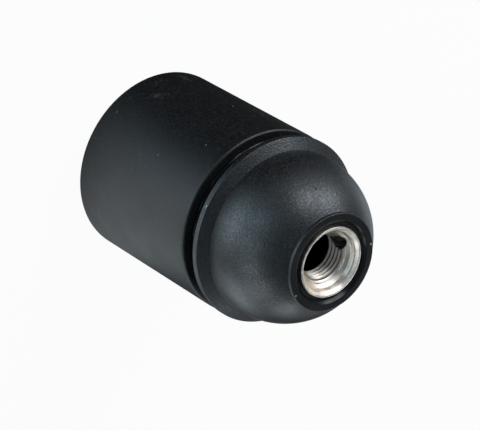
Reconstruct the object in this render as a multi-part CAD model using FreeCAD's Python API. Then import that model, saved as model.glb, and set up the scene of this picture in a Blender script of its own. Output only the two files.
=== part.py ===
import FreeCAD, Part
import math
import os

# E27 pendant lamp holder: a domed cap with a metal cable entry screws into a smooth skirted shell,
# and between them lies a terminal block with its contacts. Millimetres, +Z up along the axis.
# The origin is the centre of the shell's open rim, on which the holder stands.
# The cap is drawn partly unscrewed, by CAP_OPENING from the closed position.

V = FreeCAD.Vector
Z = V(0, 0, 1)

# Outer shell
SHELL_RADIUS = 20.0
SHELL_LENGTH = 37.0
SKIRT_WALL = 2.2
SHELL_EDGE_BEVEL = 0.5
WEB_THICKNESS = 2.5
RIB_COUNT = 8
RIB_WIDTH = 1.6
RIB_SETBACK = 5.0

# Lamp screw, Edison size 27. The bore is drawn at the crests of its thread.
LAMP_CREST_RADIUS = 12.25
LAMP_THREAD_DEPTH = 1.1
SLEEVE_WALL = 2.0
SLEEVE_SETBACK = 1.5
LAMP_LEAD_IN = 0.9
CONTACT_CHAMBER = 8.0

# Joint between cap and shell, drawn at the roots of the cap's thread
NECK_STEP = 2.8
NECK_CLEARANCE = 0.25
NECK_LENGTH = 8.0
NECK_WALL = 2.0
NECK_CHAMFER = 0.5
SEAM_GAP = 0.1
CLAMP_GAP = 0.1
CAP_OPENING = 3.1

# Cap
FLANGE_HEIGHT = 1.3
SHOULDER_RISE = 1.4
DOME_RADIUS = 17.8
DOME_CENTRE_RISE = 4.15
DOME_WALL = 2.4
TAPER_ANGLES = (8, 28, 50)
COLLAR_RADIUS = 10.45
COLLAR_RISE = 0.7
COLLAR_EDGE_BEVEL = 0.2
RECESS_RADIUS = 8.9
RECESS_FLOOR_RADIUS = 8.3
RECESS_DEPTH = 0.8
BOSS_WALL = 2.5
KEY_WIDTH = 3.0
KEY_DEPTH = 2.6

# Cable entry bush, thread M10x1. The bore is drawn at the crests of its thread.
BUSH_RADIUS = 7.5
BUSH_LENGTH = 7.8
BUSH_SINK = 0.15
ENTRY_BORE_RADIUS = 4.46
ENTRY_MOUTH_RADIUS = 7.0
ENTRY_MOUTH_DEPTH = 2.9
ENTRY_THROAT_RADIUS = 5.1

# Locking screw, M4 grub. It leans down and outwards from the entry bore.
LOCK_AZIMUTH = 155.0
LOCK_LEAN = 30.0
LOCK_BORE_DEPTH = 3.4
LOCK_SCREW_RADIUS = 1.9
LOCK_SCREW_LENGTH = 6.0
LOCK_SCREW_INSET = 1.3
LOCK_HOLE_CLEARANCE = 0.07
GUIDE_HOLE_RADIUS = 2.3
GUIDE_WALL = 1.3

# Terminal block
BLOCK_FLANGE = 2.0
BLOCK_FLANGE_CLEARANCE = 0.55
SPIGOT_DEPTH = 1.6
SPIGOT_CLEARANCE = 0.25
TOWER_HEIGHT = 11.0
TOWER_CLEARANCE = 0.6
TOWER_WIDTH = 12.4
TOWER_WALL = 1.4
TOWER_EDGE_ROUND = 0.8
KEY_CLEARANCE = 0.15
POST_WIDTH = 3.0
POST_DEPTH = 2.8

# Terminals and their screws (M3)
TERMINAL_SETBACK = 4.55
TERMINAL_WIDTH = 6.0
TERMINAL_DEPTH = 5.8
TERMINAL_HEIGHT = 7.0
TERMINAL_FLOOR = 1.6
TERMINAL_BEVEL = 0.4
TERMINAL_CLEARANCE = 0.1
TERMINAL_SEAT_RISE = 2.0
WIRE_HOLE_RADIUS = 1.6
SCREW_RADIUS = 1.45
SCREW_CLEARANCE = 0.07
SCREW_SETBACK = 0.5
SCREW_HEIGHT = 4.6
SCREW_INSET = 0.3
SLOT_WIDTH = 0.6
SLOT_DEPTH = 0.7
POINT_BEVEL = 0.4

# Contact strips and rivets
STRIP_THICKNESS = 0.45
STRIP_WIDTH = 5.0
STRIP_BEND = 1.0
STRIP_PLAY = 0.4
STRIP_PLAY_UNDER = 0.3
RIVET_RADIUS = 1.2
RIVET_HEAD_RADIUS = 2.0
RIVET_HEAD_HEIGHT = 0.5
RIVET_END_HEIGHT = 0.6
RIVET_FIT = 0.05
CONTACT_DROP = 2.7
CONTACT_OVERREACH = 4.0
CONTACT_LIFT = 1.2
TAB_HALF = 2.6
PAD_HALF = 1.5
SIDE_LENGTH = 4.4
SIDE_LEAN = 1.2
SIDE_LIP = 0.8
SIDE_WALL_GAP = 1.3
RELIEF_DEPTH = 0.8
RELIEF_INSET = -1.8
RELIEF_SIDE_GAP = 0.4

OVERCUT = 1.0

# Levels along the axis, with the cap at rest
CLOSED_NECK_END = SHELL_LENGTH + SEAM_GAP - NECK_LENGTH
LEDGE_LEVEL = CLOSED_NECK_END - CLAMP_GAP - BLOCK_FLANGE
THREAD_END_LEVEL = LEDGE_LEVEL - CONTACT_CHAMBER
FLANGE_LEVEL = SHELL_LENGTH + SEAM_GAP + CAP_OPENING
NECK_END_LEVEL = FLANGE_LEVEL - NECK_LENGTH
SHOULDER_LEVEL = FLANGE_LEVEL + FLANGE_HEIGHT
DOME_BASE_LEVEL = SHOULDER_LEVEL + SHOULDER_RISE
DOME_CENTRE_LEVEL = FLANGE_LEVEL + DOME_CENTRE_RISE
COLLAR_FOOT_LEVEL = DOME_CENTRE_LEVEL + math.sqrt(DOME_RADIUS ** 2 - COLLAR_RADIUS ** 2)
COLLAR_LEVEL = COLLAR_FOOT_LEVEL + COLLAR_RISE
RECESS_LEVEL = COLLAR_LEVEL - RECESS_DEPTH
BUSH_TOP_LEVEL = COLLAR_LEVEL - BUSH_SINK
BUSH_END_LEVEL = BUSH_TOP_LEVEL - BUSH_LENGTH
BLOCK_TOP_LEVEL = LEDGE_LEVEL + BLOCK_FLANGE
TOWER_TOP_LEVEL = BLOCK_TOP_LEVEL + TOWER_HEIGHT
CONTACT_FACE_LEVEL = LEDGE_LEVEL - SPIGOT_DEPTH
TERMINAL_LEVEL = BLOCK_TOP_LEVEL + TERMINAL_SEAT_RISE
TERMINAL_TOP_LEVEL = TERMINAL_LEVEL + TERMINAL_HEIGHT
TERMINAL_FLOOR_LEVEL = TERMINAL_LEVEL + TERMINAL_FLOOR
SCREW_LEVEL = TERMINAL_LEVEL + SCREW_HEIGHT
STRIP_TOP_LEVEL = CONTACT_FACE_LEVEL - STRIP_PLAY
STRIP_MIDDLE_LEVEL = STRIP_TOP_LEVEL - STRIP_THICKNESS / 2
STRIP_UNDER_LEVEL = STRIP_TOP_LEVEL - STRIP_THICKNESS

# Radii that follow from the sizes above
NECK_ROOT_RADIUS = SHELL_RADIUS - NECK_STEP
SHELL_BORE_RADIUS = NECK_ROOT_RADIUS + NECK_CLEARANCE
CHAMBER_RADIUS = LAMP_CREST_RADIUS + LAMP_THREAD_DEPTH
SLEEVE_RADIUS = CHAMBER_RADIUS + SLEEVE_WALL
SKIRT_BORE_RADIUS = SHELL_RADIUS - SKIRT_WALL
NECK_BORE_RADIUS = NECK_ROOT_RADIUS - NECK_WALL
BOSS_RADIUS = BUSH_RADIUS + BOSS_WALL
BLOCK_RADIUS = SHELL_BORE_RADIUS - BLOCK_FLANGE_CLEARANCE
SPIGOT_RADIUS = CHAMBER_RADIUS - SPIGOT_CLEARANCE
TOWER_RADIUS = NECK_BORE_RADIUS - TOWER_CLEARANCE
TERMINAL_CENTRE = CHAMBER_RADIUS - TERMINAL_SETBACK
TERMINAL_SEAT_HALF = TERMINAL_DEPTH / 2 + TERMINAL_CLEARANCE
TOWER_INNER_FACE = TERMINAL_CENTRE - TERMINAL_SEAT_HALF - TOWER_WALL
SCREW_TIP_RADIUS = TERMINAL_CENTRE + WIRE_HOLE_RADIUS + SCREW_INSET
SCREW_LENGTH = TOWER_RADIUS - SCREW_SETBACK - SCREW_TIP_RADIUS


def rounded_wire(corners, place):
    """Closed wire through (a, b, rounding) corners; place turns (a, b) into a point in space."""
    edges = []
    ends = []
    count = len(corners)
    for index, (a, b, rounding) in enumerate(corners):
        corner = V(a, b, 0)
        if rounding <= 0:
            ends.append((corner, corner))
            continue
        back = V(*corners[index - 1][:2], 0) - corner
        ahead = V(*corners[(index + 1) % count][:2], 0) - corner
        half_angle = back.getAngle(ahead) / 2
        back.normalize()
        ahead.normalize()
        setback = rounding / math.tan(half_angle)
        bisector = (back + ahead).normalize()
        middle = corner + bisector * (rounding / math.sin(half_angle) - rounding)
        ends.append((corner + back * setback, corner + ahead * setback))
        arc_points = [place(p.x, p.y) for p in (ends[-1][0], middle, ends[-1][1])]
        edges.append(Part.Arc(*arc_points).toShape())
    for index in range(count):
        start = ends[index][1]
        finish = ends[(index + 1) % count][0]
        if start.distanceToPoint(finish) > 1e-6:
            edges.append(Part.LineSegment(place(start.x, start.y), place(finish.x, finish.y)).toShape())
    return Part.Wire(Part.__sortEdges__(edges))


def turned(corners):
    """Solid of revolution about Z from (radius, level, bevel) corners of its half section."""
    points = []
    count = len(corners)
    for index, (radius, level, bevel) in enumerate(corners):
        corner = V(radius, 0, level)
        if bevel <= 0:
            points.append(corner)
            continue
        for neighbour in (corners[index - 1], corners[(index + 1) % count]):
            towards = V(neighbour[0], 0, neighbour[1]) - corner
            points.append(corner + towards.normalize() * bevel)
    wire = Part.makePolygon(points + points[:1])
    return Part.Face(wire).revolve(V(0, 0, 0), Z, 360)


def cylinder(radius, low, high, x=0.0, y=0.0):
    """Upright cylinder between two levels."""
    return Part.makeCylinder(radius, high - low, V(x, y, low), Z)


def box(x_low, x_high, y_low, y_high, low, high):
    """Block given by its limits."""
    return Part.makeBox(x_high - x_low, y_high - y_low, high - low, V(x_low, y_low, low))


def turned_about_z(shape, angle):
    """Copy of a shape turned about the axis."""
    copy = shape.copy()
    copy.rotate(V(0, 0, 0), Z, angle)
    return copy


def bent_strip(path, thickness, bend, width):
    """Strip of sheet metal along a path of (y, z) points, with round bends, centred on x = 0."""
    points = [V(y, z, 0) for y, z in path]
    directions = [(b - a).normalize() for a, b in zip(points, points[1:])]
    sides = []
    for side in (1, -1):
        row = []
        for index, point in enumerate(points):
            before = directions[max(index - 1, 0)]
            after = directions[min(index, len(directions) - 1)]
            normal_before = V(-before.y, before.x, 0)
            normal_after = V(-after.y, after.x, 0)
            mitre = normal_before + normal_after
            offset = mitre * (side * thickness / mitre.dot(normal_before) / 2)
            turn = before.cross(after).z
            rounding = 0 if abs(turn) < 1e-9 else bend - side * math.copysign(thickness / 2, turn)
            row.append((point.x + offset.x, point.y + offset.y, rounding))
        sides.append(row)
    corners = sides[0] + sides[1][::-1]
    wire = rounded_wire(corners, lambda y, z: V(-width / 2, y, z))
    return Part.Face(wire).extrude(V(width, 0, 0))


def lock_frame():
    """Point where the locking screw's axis meets the entry bore, and its outward direction."""
    azimuth = math.radians(LOCK_AZIMUTH)
    lean = math.radians(LOCK_LEAN)
    outward = V(math.cos(azimuth), math.sin(azimuth), 0)
    direction = outward * math.cos(lean) - Z * math.sin(lean)
    start = outward * ENTRY_BORE_RADIUS + Z * (BUSH_TOP_LEVEL - LOCK_BORE_DEPTH)
    return start, direction


def along_lock(radius, start_at, length):
    """Cylinder on the locking screw's axis, from a distance outside the entry bore's wall."""
    start, direction = lock_frame()
    return Part.makeCylinder(radius, length, start + direction * start_at, direction)


def make_shell():
    """Skirted shell: outer wall, lamp screw sleeve inside it, the ledge that joins them, and ribs."""
    edge = SHELL_EDGE_BEVEL
    web_level = LEDGE_LEVEL - WEB_THICKNESS
    shell = turned([
        (SKIRT_BORE_RADIUS, 0, 0),
        (SHELL_RADIUS, 0, edge),
        (SHELL_RADIUS, SHELL_LENGTH, edge),
        (SHELL_BORE_RADIUS, SHELL_LENGTH, 0),
        (SHELL_BORE_RADIUS, LEDGE_LEVEL, 0),
        (CHAMBER_RADIUS, LEDGE_LEVEL, 0),
        (CHAMBER_RADIUS, THREAD_END_LEVEL, 0),
        (LAMP_CREST_RADIUS, THREAD_END_LEVEL, 0),
        (LAMP_CREST_RADIUS, SLEEVE_SETBACK + LAMP_LEAD_IN, 0),
        (LAMP_CREST_RADIUS + LAMP_LEAD_IN, SLEEVE_SETBACK, 0),
        (SLEEVE_RADIUS, SLEEVE_SETBACK, 0),
        (SLEEVE_RADIUS, web_level, 0),
        (SKIRT_BORE_RADIUS, web_level, 0),
    ])
    bite = min(SLEEVE_WALL, SKIRT_WALL) / 4
    rib = box(SLEEVE_RADIUS - bite, SKIRT_BORE_RADIUS + bite, -RIB_WIDTH / 2, RIB_WIDTH / 2,
              RIB_SETBACK, LEDGE_LEVEL - WEB_THICKNESS / 2)
    ribs = [turned_about_z(rib, 360.0 * index / RIB_COUNT) for index in range(RIB_COUNT)]
    return shell.multiFuse(ribs).removeSplitter()


def make_cap():
    """Domed cap: neck, flange, shoulder, dome, collar, boss for the bush, keys, screwdriver guide."""
    body = turned([
        (0, NECK_END_LEVEL, 0),
        (NECK_ROOT_RADIUS - NECK_CHAMFER, NECK_END_LEVEL, 0),
        (NECK_ROOT_RADIUS, NECK_END_LEVEL + NECK_CHAMFER, 0),
        (NECK_ROOT_RADIUS, FLANGE_LEVEL, 0),
        (SHELL_RADIUS, FLANGE_LEVEL, 0),
        (SHELL_RADIUS, SHOULDER_LEVEL, 0),
        (math.sqrt(DOME_RADIUS ** 2 - (DOME_CENTRE_LEVEL - DOME_BASE_LEVEL) ** 2), DOME_BASE_LEVEL, 0),
        (0, DOME_BASE_LEVEL, 0),
    ])
    centre = V(0, 0, DOME_CENTRE_LEVEL)
    base_latitude = math.degrees(math.asin((DOME_BASE_LEVEL - DOME_CENTRE_LEVEL) / DOME_RADIUS))
    collar_latitude = math.degrees(math.acos(COLLAR_RADIUS / DOME_RADIUS))
    dome = Part.makeSphere(DOME_RADIUS, centre, Z, base_latitude, collar_latitude, 360)
    collar = turned([
        (0, DOME_CENTRE_LEVEL, 0),
        (COLLAR_RADIUS, DOME_CENTRE_LEVEL, 0),
        (COLLAR_RADIUS, COLLAR_LEVEL, COLLAR_EDGE_BEVEL),
        (RECESS_RADIUS, COLLAR_LEVEL, 0),
        (RECESS_FLOOR_RADIUS, RECESS_LEVEL, 0),
        (0, RECESS_LEVEL, 0),
    ])
    outside = body.multiFuse([dome, collar])

    inside_radius = DOME_RADIUS - DOME_WALL
    tapers = [(inside_radius * math.cos(math.radians(angle)),
               DOME_CENTRE_LEVEL + inside_radius * math.sin(math.radians(angle)), 0)
              for angle in TAPER_ANGLES]
    hollow = turned([
        (0, NECK_END_LEVEL - OVERCUT, 0),
        (NECK_BORE_RADIUS, NECK_END_LEVEL - OVERCUT, 0),
        (NECK_BORE_RADIUS, DOME_CENTRE_LEVEL, 0),
    ] + tapers + [(0, tapers[-1][1], 0)])
    boss = cylinder(BOSS_RADIUS, BUSH_END_LEVEL, COLLAR_LEVEL)
    guide = along_lock(GUIDE_HOLE_RADIUS + GUIDE_WALL, 0, DOME_RADIUS)
    keys = [
        turned_about_z(box(NECK_BORE_RADIUS - KEY_DEPTH, NECK_BORE_RADIUS + NECK_WALL / 2, -KEY_WIDTH / 2,
                           KEY_WIDTH / 2, NECK_END_LEVEL, DOME_BASE_LEVEL), angle)
        for angle in (0, 180)
    ]
    hollow = hollow.cut(boss.multiFuse([guide] + keys))
    cap = outside.cut(hollow)

    bush_hole = cylinder(BUSH_RADIUS, BUSH_END_LEVEL - OVERCUT, COLLAR_LEVEL + OVERCUT)
    driver_hole = along_lock(GUIDE_HOLE_RADIUS, 0, 2 * DOME_RADIUS)
    return cap.cut(bush_hole.fuse(driver_hole)).removeSplitter()


def make_entry_bush():
    """Metal bush with a flared mouth and the locking screw's cross hole."""
    throat_level = BUSH_TOP_LEVEL - ENTRY_MOUTH_DEPTH
    bush = turned([
        (ENTRY_BORE_RADIUS, BUSH_END_LEVEL, 0),
        (BUSH_RADIUS, BUSH_END_LEVEL, 0),
        (BUSH_RADIUS, BUSH_TOP_LEVEL, 0),
        (ENTRY_MOUTH_RADIUS, BUSH_TOP_LEVEL, 0),
        (ENTRY_THROAT_RADIUS, throat_level, 0),
        (ENTRY_BORE_RADIUS, throat_level, 0),
    ])
    screw_hole = along_lock(LOCK_SCREW_RADIUS + LOCK_HOLE_CLEARANCE, -ENTRY_BORE_RADIUS / 2, DOME_RADIUS)
    return bush.cut(screw_hole)


def grub_screw(radius, length):
    """Slotted headless screw, point at the origin and slot at the top, along +Z."""
    screw = turned([
        (0, 0, 0),
        (radius - POINT_BEVEL, 0, 0),
        (radius, POINT_BEVEL, 0),
        (radius, length, 0),
        (0, length, 0),
    ])
    slot = box(-2 * radius, 2 * radius, -SLOT_WIDTH / 2, SLOT_WIDTH / 2,
               length - SLOT_DEPTH, length + OVERCUT)
    return screw.cut(slot)


def placed(shape, base, direction):
    """Copy of a shape whose own +Z and origin are laid on a direction and a base point."""
    copy = shape.copy()
    copy.Placement = FreeCAD.Placement(base, FreeCAD.Rotation(Z, direction))
    return copy


def make_locking_screw():
    """Grub screw that grips the tube screwed into the bush."""
    start, direction = lock_frame()
    screw = grub_screw(LOCK_SCREW_RADIUS, LOCK_SCREW_LENGTH)
    return placed(screw, start + direction * LOCK_SCREW_INSET, direction)


def make_tower(sign):
    """Tower of the terminal block on one side, with its terminal's pocket and screw window."""
    half = TOWER_WIDTH / 2
    corners = [
        (-half, TOWER_INNER_FACE, TOWER_EDGE_ROUND),
        (half, TOWER_INNER_FACE, TOWER_EDGE_ROUND),
        (half, TOWER_RADIUS, 0),
        (-half, TOWER_RADIUS, 0),
    ]
    wire = rounded_wire(corners, lambda x, y: V(x, y, BLOCK_TOP_LEVEL))
    tower = Part.Face(wire).extrude(Z * TOWER_HEIGHT)
    tower = tower.common(cylinder(TOWER_RADIUS, BLOCK_TOP_LEVEL, TOWER_TOP_LEVEL))
    half_pocket = TERMINAL_WIDTH / 2 + TERMINAL_CLEARANCE
    pocket = box(-half_pocket, half_pocket, TERMINAL_CENTRE - TERMINAL_SEAT_HALF,
                 TERMINAL_CENTRE + TERMINAL_SEAT_HALF, TERMINAL_LEVEL, TOWER_TOP_LEVEL + OVERCUT)
    window = Part.makeCylinder(SCREW_RADIUS + TERMINAL_CLEARANCE + SCREW_CLEARANCE, TOWER_RADIUS,
                               V(0, TERMINAL_CENTRE, SCREW_LEVEL), V(0, 1, 0))
    tower = tower.cut(pocket.fuse(window))
    return turned_about_z(tower, 0 if sign > 0 else 180)


def make_terminal_block():
    """Moulded block: spigot, flange on the shell's ledge, two towers and the key posts."""
    base = turned([
        (0, CONTACT_FACE_LEVEL, 0),
        (SPIGOT_RADIUS, CONTACT_FACE_LEVEL, 0),
        (SPIGOT_RADIUS, LEDGE_LEVEL, 0),
        (BLOCK_RADIUS, LEDGE_LEVEL, 0),
        (BLOCK_RADIUS, BLOCK_TOP_LEVEL, 0),
        (0, BLOCK_TOP_LEVEL, 0),
    ])
    towers = [make_tower(1), make_tower(-1)]
    slot_half = KEY_WIDTH / 2 + KEY_CLEARANCE
    post = box(TOWER_RADIUS - POST_DEPTH, TOWER_RADIUS, slot_half, slot_half + POST_WIDTH,
               BLOCK_TOP_LEVEL, TOWER_TOP_LEVEL)
    pair = post.fuse(post.mirror(V(0, 0, 0), V(0, 1, 0)))
    pair = pair.common(cylinder(TOWER_RADIUS, BLOCK_TOP_LEVEL, TOWER_TOP_LEVEL))
    posts = [turned_about_z(pair, angle) for angle in (0, 180)]
    block = base.multiFuse(towers + posts)

    cuts = [
        cylinder(RIVET_RADIUS + RIVET_FIT, CONTACT_FACE_LEVEL - OVERCUT, TERMINAL_LEVEL + OVERCUT,
                 0, sign * TERMINAL_CENTRE)
        for sign in (1, -1)
    ]
    relief_half = STRIP_WIDTH / 2 + RELIEF_SIDE_GAP
    cuts.append(box(-relief_half, relief_half, -SPIGOT_RADIUS - OVERCUT, RELIEF_INSET - TERMINAL_CENTRE,
                    CONTACT_FACE_LEVEL - OVERCUT, CONTACT_FACE_LEVEL + RELIEF_DEPTH))
    return block.cut(Part.makeCompound(cuts)).removeSplitter()


def make_terminal(sign):
    """Brass pillar terminal: wire hole from the top, screw hole from outside, rivet hole in its floor."""
    half_width = TERMINAL_WIDTH / 2
    half_depth = TERMINAL_DEPTH / 2
    corners = [(x * half_width, TERMINAL_CENTRE + y * half_depth, TERMINAL_BEVEL)
               for x, y in ((-1, -1), (1, -1), (1, 1), (-1, 1))]
    wire = rounded_wire(corners, lambda x, y: V(x, y, TERMINAL_LEVEL))
    terminal = Part.Face(wire).extrude(Z * TERMINAL_HEIGHT)
    wire_hole = cylinder(WIRE_HOLE_RADIUS, TERMINAL_FLOOR_LEVEL, TERMINAL_TOP_LEVEL + OVERCUT,
                         0, TERMINAL_CENTRE)
    rivet_hole = cylinder(RIVET_RADIUS + RIVET_FIT, TERMINAL_LEVEL - OVERCUT, TERMINAL_TOP_LEVEL,
                          0, TERMINAL_CENTRE)
    screw_hole = Part.makeCylinder(SCREW_RADIUS + SCREW_CLEARANCE, TERMINAL_DEPTH,
                                   V(0, TERMINAL_CENTRE, SCREW_LEVEL), V(0, 1, 0))
    terminal = terminal.cut(wire_hole.multiFuse([rivet_hole, screw_hole]))
    return turned_about_z(terminal, 0 if sign > 0 else 180)


def make_terminal_screw(sign):
    """Grub screw of a terminal, backed out clear of the wire hole."""
    screw = grub_screw(SCREW_RADIUS, SCREW_LENGTH)
    return placed(screw, V(0, sign * SCREW_TIP_RADIUS, SCREW_LEVEL), V(0, sign, 0))


def make_rivet(sign):
    """Rivet through contact strip, block and terminal, closed over the terminal's floor."""
    head_top = STRIP_UNDER_LEVEL - STRIP_PLAY_UNDER
    end_radius = WIRE_HOLE_RADIUS - RIVET_FIT
    rivet = turned([
        (0, head_top - RIVET_HEAD_HEIGHT, 0),
        (RIVET_HEAD_RADIUS, head_top - RIVET_HEAD_HEIGHT, RIVET_HEAD_HEIGHT / 2),
        (RIVET_HEAD_RADIUS, head_top, 0),
        (RIVET_RADIUS, head_top, 0),
        (RIVET_RADIUS, TERMINAL_FLOOR_LEVEL, 0),
        (end_radius, TERMINAL_FLOOR_LEVEL, 0),
        (end_radius, TERMINAL_FLOOR_LEVEL + RIVET_END_HEIGHT, 0),
        (0, TERMINAL_FLOOR_LEVEL + RIVET_END_HEIGHT, 0),
    ])
    return rivet.translated(V(0, sign * TERMINAL_CENTRE, 0))


def riveted_strip(path, sign):
    """Contact strip with its rivet hole."""
    strip = bent_strip(path, STRIP_THICKNESS, STRIP_BEND, STRIP_WIDTH)
    return strip.cut(cylinder(RIVET_RADIUS + STRIP_PLAY_UNDER, STRIP_UNDER_LEVEL - OVERCUT,
                              STRIP_TOP_LEVEL + OVERCUT, 0, sign * TERMINAL_CENTRE))


def make_centre_contact():
    """Sprung strip from the live rivet to the pad that meets the lamp's tip."""
    pad_level = STRIP_MIDDLE_LEVEL - CONTACT_DROP
    return riveted_strip([
        (TERMINAL_CENTRE + TAB_HALF, STRIP_MIDDLE_LEVEL),
        (TERMINAL_CENTRE - TAB_HALF, STRIP_MIDDLE_LEVEL),
        (PAD_HALF, pad_level),
        (-PAD_HALF, pad_level),
        (-CONTACT_OVERREACH, pad_level + CONTACT_LIFT),
    ], 1)


def make_side_contact():
    """Sprung strip from the neutral rivet down inside the sleeve, to the lamp's screw shell."""
    reach = math.sqrt((CHAMBER_RADIUS - SIDE_WALL_GAP) ** 2 - (STRIP_WIDTH / 2) ** 2)
    foot_level = STRIP_MIDDLE_LEVEL - SIDE_LENGTH
    return riveted_strip([
        (TAB_HALF - TERMINAL_CENTRE, STRIP_MIDDLE_LEVEL),
        (-reach, STRIP_MIDDLE_LEVEL),
        (SIDE_LEAN - reach, foot_level),
        (SIDE_LEAN - reach - SIDE_LIP, foot_level - SIDE_LIP),
    ], -1)


def make_parts():
    """Every piece of the holder, by node name."""
    parts = {
        "outer_shell": make_shell(),
        "domed_cap": make_cap(),
        "entry_bush": make_entry_bush(),
        "locking_screw": make_locking_screw(),
        "terminal_block": make_terminal_block(),
        "centre_contact": make_centre_contact(),
        "side_contact": make_side_contact(),
    }
    for name, sign in (("live", 1), ("neutral", -1)):
        parts[name + "_terminal"] = make_terminal(sign)
        parts[name + "_terminal_screw"] = make_terminal_screw(sign)
        parts[name + "_rivet"] = make_rivet(sign)
    return parts


os.makedirs("parts", exist_ok=True)
for node, shape in make_parts().items():
    solid = shape.Solids[0] if len(shape.Solids) == 1 else shape
    solid.exportStep(os.path.join("parts", node + ".step"))
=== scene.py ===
"""Dressed model of a pendant lamp holder: domed cap, skirted shell, entry bush, block and contacts.

The holder stands on the open rim of its shell, its axis along +Z and the live terminal towards +Y.
Sizes are in millimetres, and become metres where a mesh is made.
"""

from __future__ import annotations

import logging
import math
from dataclasses import dataclass, field, replace
from enum import Enum
from typing import Sequence

import bmesh
import bpy
from mathutils import Matrix, Vector

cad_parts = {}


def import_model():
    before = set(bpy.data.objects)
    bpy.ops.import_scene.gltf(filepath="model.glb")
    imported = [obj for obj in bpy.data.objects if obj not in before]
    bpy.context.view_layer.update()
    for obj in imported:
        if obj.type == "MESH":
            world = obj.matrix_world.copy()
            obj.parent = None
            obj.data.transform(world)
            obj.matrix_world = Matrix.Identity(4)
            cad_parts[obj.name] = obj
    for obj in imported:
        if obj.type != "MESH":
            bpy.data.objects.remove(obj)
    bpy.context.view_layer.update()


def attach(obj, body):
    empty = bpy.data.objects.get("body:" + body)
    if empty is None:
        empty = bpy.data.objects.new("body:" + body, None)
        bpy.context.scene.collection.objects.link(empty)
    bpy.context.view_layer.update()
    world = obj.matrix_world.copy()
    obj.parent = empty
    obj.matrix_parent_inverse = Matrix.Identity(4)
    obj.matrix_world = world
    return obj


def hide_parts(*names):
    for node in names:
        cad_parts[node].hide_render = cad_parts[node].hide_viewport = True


MM = 0.001
TURN = 2 * math.pi
WELD = 2e-6

Colour = tuple[float, float, float]
Point = tuple[float, float, float]
Materials = list[bpy.types.Material]
log = logging.getLogger("lamp_holder")


# ---------------------------------------------------------------- node trees


class Wiring:
    """Adds nodes to a node tree and joins them."""

    def __init__(self, tree: bpy.types.NodeTree) -> None:
        """Starts on a tree.

        Args:
            tree: the shader or geometry tree that the nodes go into.
        """
        self.tree = tree

    def add(self, kind: str, inputs: dict | None = None, output: int | str = 0,
            **settings: object) -> bpy.types.NodeSocket:
        """Adds one node.

        Args:
            kind: the node's type name.
            inputs: value or socket for each input, by name or number.
            output: the output that is wanted, by name or number.
            settings: properties of the node itself.

        Returns:
            The chosen output socket, or the first input of a node that ends the tree.
        """
        node = self.tree.nodes.new(kind)
        for name, value in settings.items():
            setattr(node, name, value)
        for key, value in (inputs or {}).items():
            if isinstance(value, bpy.types.NodeSocket):
                self.tree.links.new(value, node.inputs[key])
            else:
                node.inputs[key].default_value = value
        return node.outputs[output] if len(node.outputs) else node.inputs[0]

    def math(self, operation: str, *values: object, clamp: bool = False) -> bpy.types.NodeSocket:
        """Joins values by one sum; returns the result socket."""
        return self.add("ShaderNodeMath", dict(enumerate(values)), operation=operation, use_clamp=clamp)

    def ramp(self, value: object, low: float, high: float, start: float = 0.0, end: float = 1.0,
             smooth: bool = True) -> bpy.types.NodeSocket:
        """Maps a value from low..high to start..end.

        Args:
            value: the socket or number to map.
            low: the value that gives start.
            high: the value that gives end.
            start: result at low.
            end: result at high.
            smooth: eases both ends when true.

        Returns:
            The mapped value, held to start..end.
        """
        return self.add("ShaderNodeMapRange", {0: value, 1: low, 2: high, 3: start, 4: end},
                        interpolation_type="SMOOTHSTEP" if smooth else "LINEAR")


class GrownTree(Wiring):
    """Geometry Nodes tree with named inputs, which makes one mesh from nothing."""

    def __init__(self, name: str) -> None:
        """Makes the empty tree with its output and its finish input.

        Args:
            name: name of the tree.
        """
        super().__init__(bpy.data.node_groups.new(name, "GeometryNodeTree"))
        self.tree.interface.new_socket("Geometry", in_out="OUTPUT", socket_type="NodeSocketGeometry")
        self.source = self.tree.nodes.new("NodeGroupInput")
        self.finish = self.input("Finish", "Material")

    def input(self, name: str, kind: str = "Float", default: object = None) -> bpy.types.NodeSocket:
        """Adds a named input.

        Args:
            name: the input's name.
            kind: Float, Int or Material.
            default: value where none is given.

        Returns:
            The socket that carries the input's value.
        """
        socket = self.tree.interface.new_socket(name, in_out="INPUT", socket_type="NodeSocket" + kind)
        if default is not None:
            socket.default_value = default
        return self.source.outputs[name]

    def close(self, geometry: bpy.types.NodeSocket) -> None:
        """Ends the tree: real geometry, with its finish on it.

        Args:
            geometry: the geometry that the tree gives.
        """
        solid = self.add("GeometryNodeRealizeInstances", {0: geometry})
        dressed = self.add("GeometryNodeSetMaterial", {"Geometry": solid, "Material": self.finish})
        result = self.tree.nodes.new("NodeGroupOutput")
        self.tree.links.new(dressed, result.inputs[0])

    def grow(self, name: str, **values: object) -> bpy.types.Mesh:
        """Runs the tree once and keeps the result as a plain mesh.

        Args:
            name: name of the mesh.
            values: inputs by name, with underscores for spaces.

        Returns:
            The finished mesh.
        """
        carrier = bpy.data.objects.new(name, bpy.data.meshes.new(name))
        bpy.context.scene.collection.objects.link(carrier)
        modifier = carrier.modifiers.new(name, "NODES")
        modifier.node_group = self.tree
        sockets = {item.name: item.identifier for item in self.tree.interface.items_tree
                   if item.item_type == "SOCKET" and item.in_out == "INPUT"}
        for key, value in values.items():
            modifier[sockets[key.replace("_", " ").capitalize()]] = value
        mesh = evaluated(carrier)
        carrier.modifiers.remove(modifier)
        bpy.data.objects.remove(carrier)
        return mesh


def evaluated(piece: bpy.types.Object) -> bpy.types.Mesh:
    """Works out all modifiers of an object.

    Args:
        piece: the object, which stays as it is.

    Returns:
        The result as a plain mesh.
    """
    bpy.context.view_layer.update()
    graph = bpy.context.evaluated_depsgraph_get()
    return bpy.data.meshes.new_from_object(piece.evaluated_get(graph), preserve_all_data_layers=True,
                                           depsgraph=graph)


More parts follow.
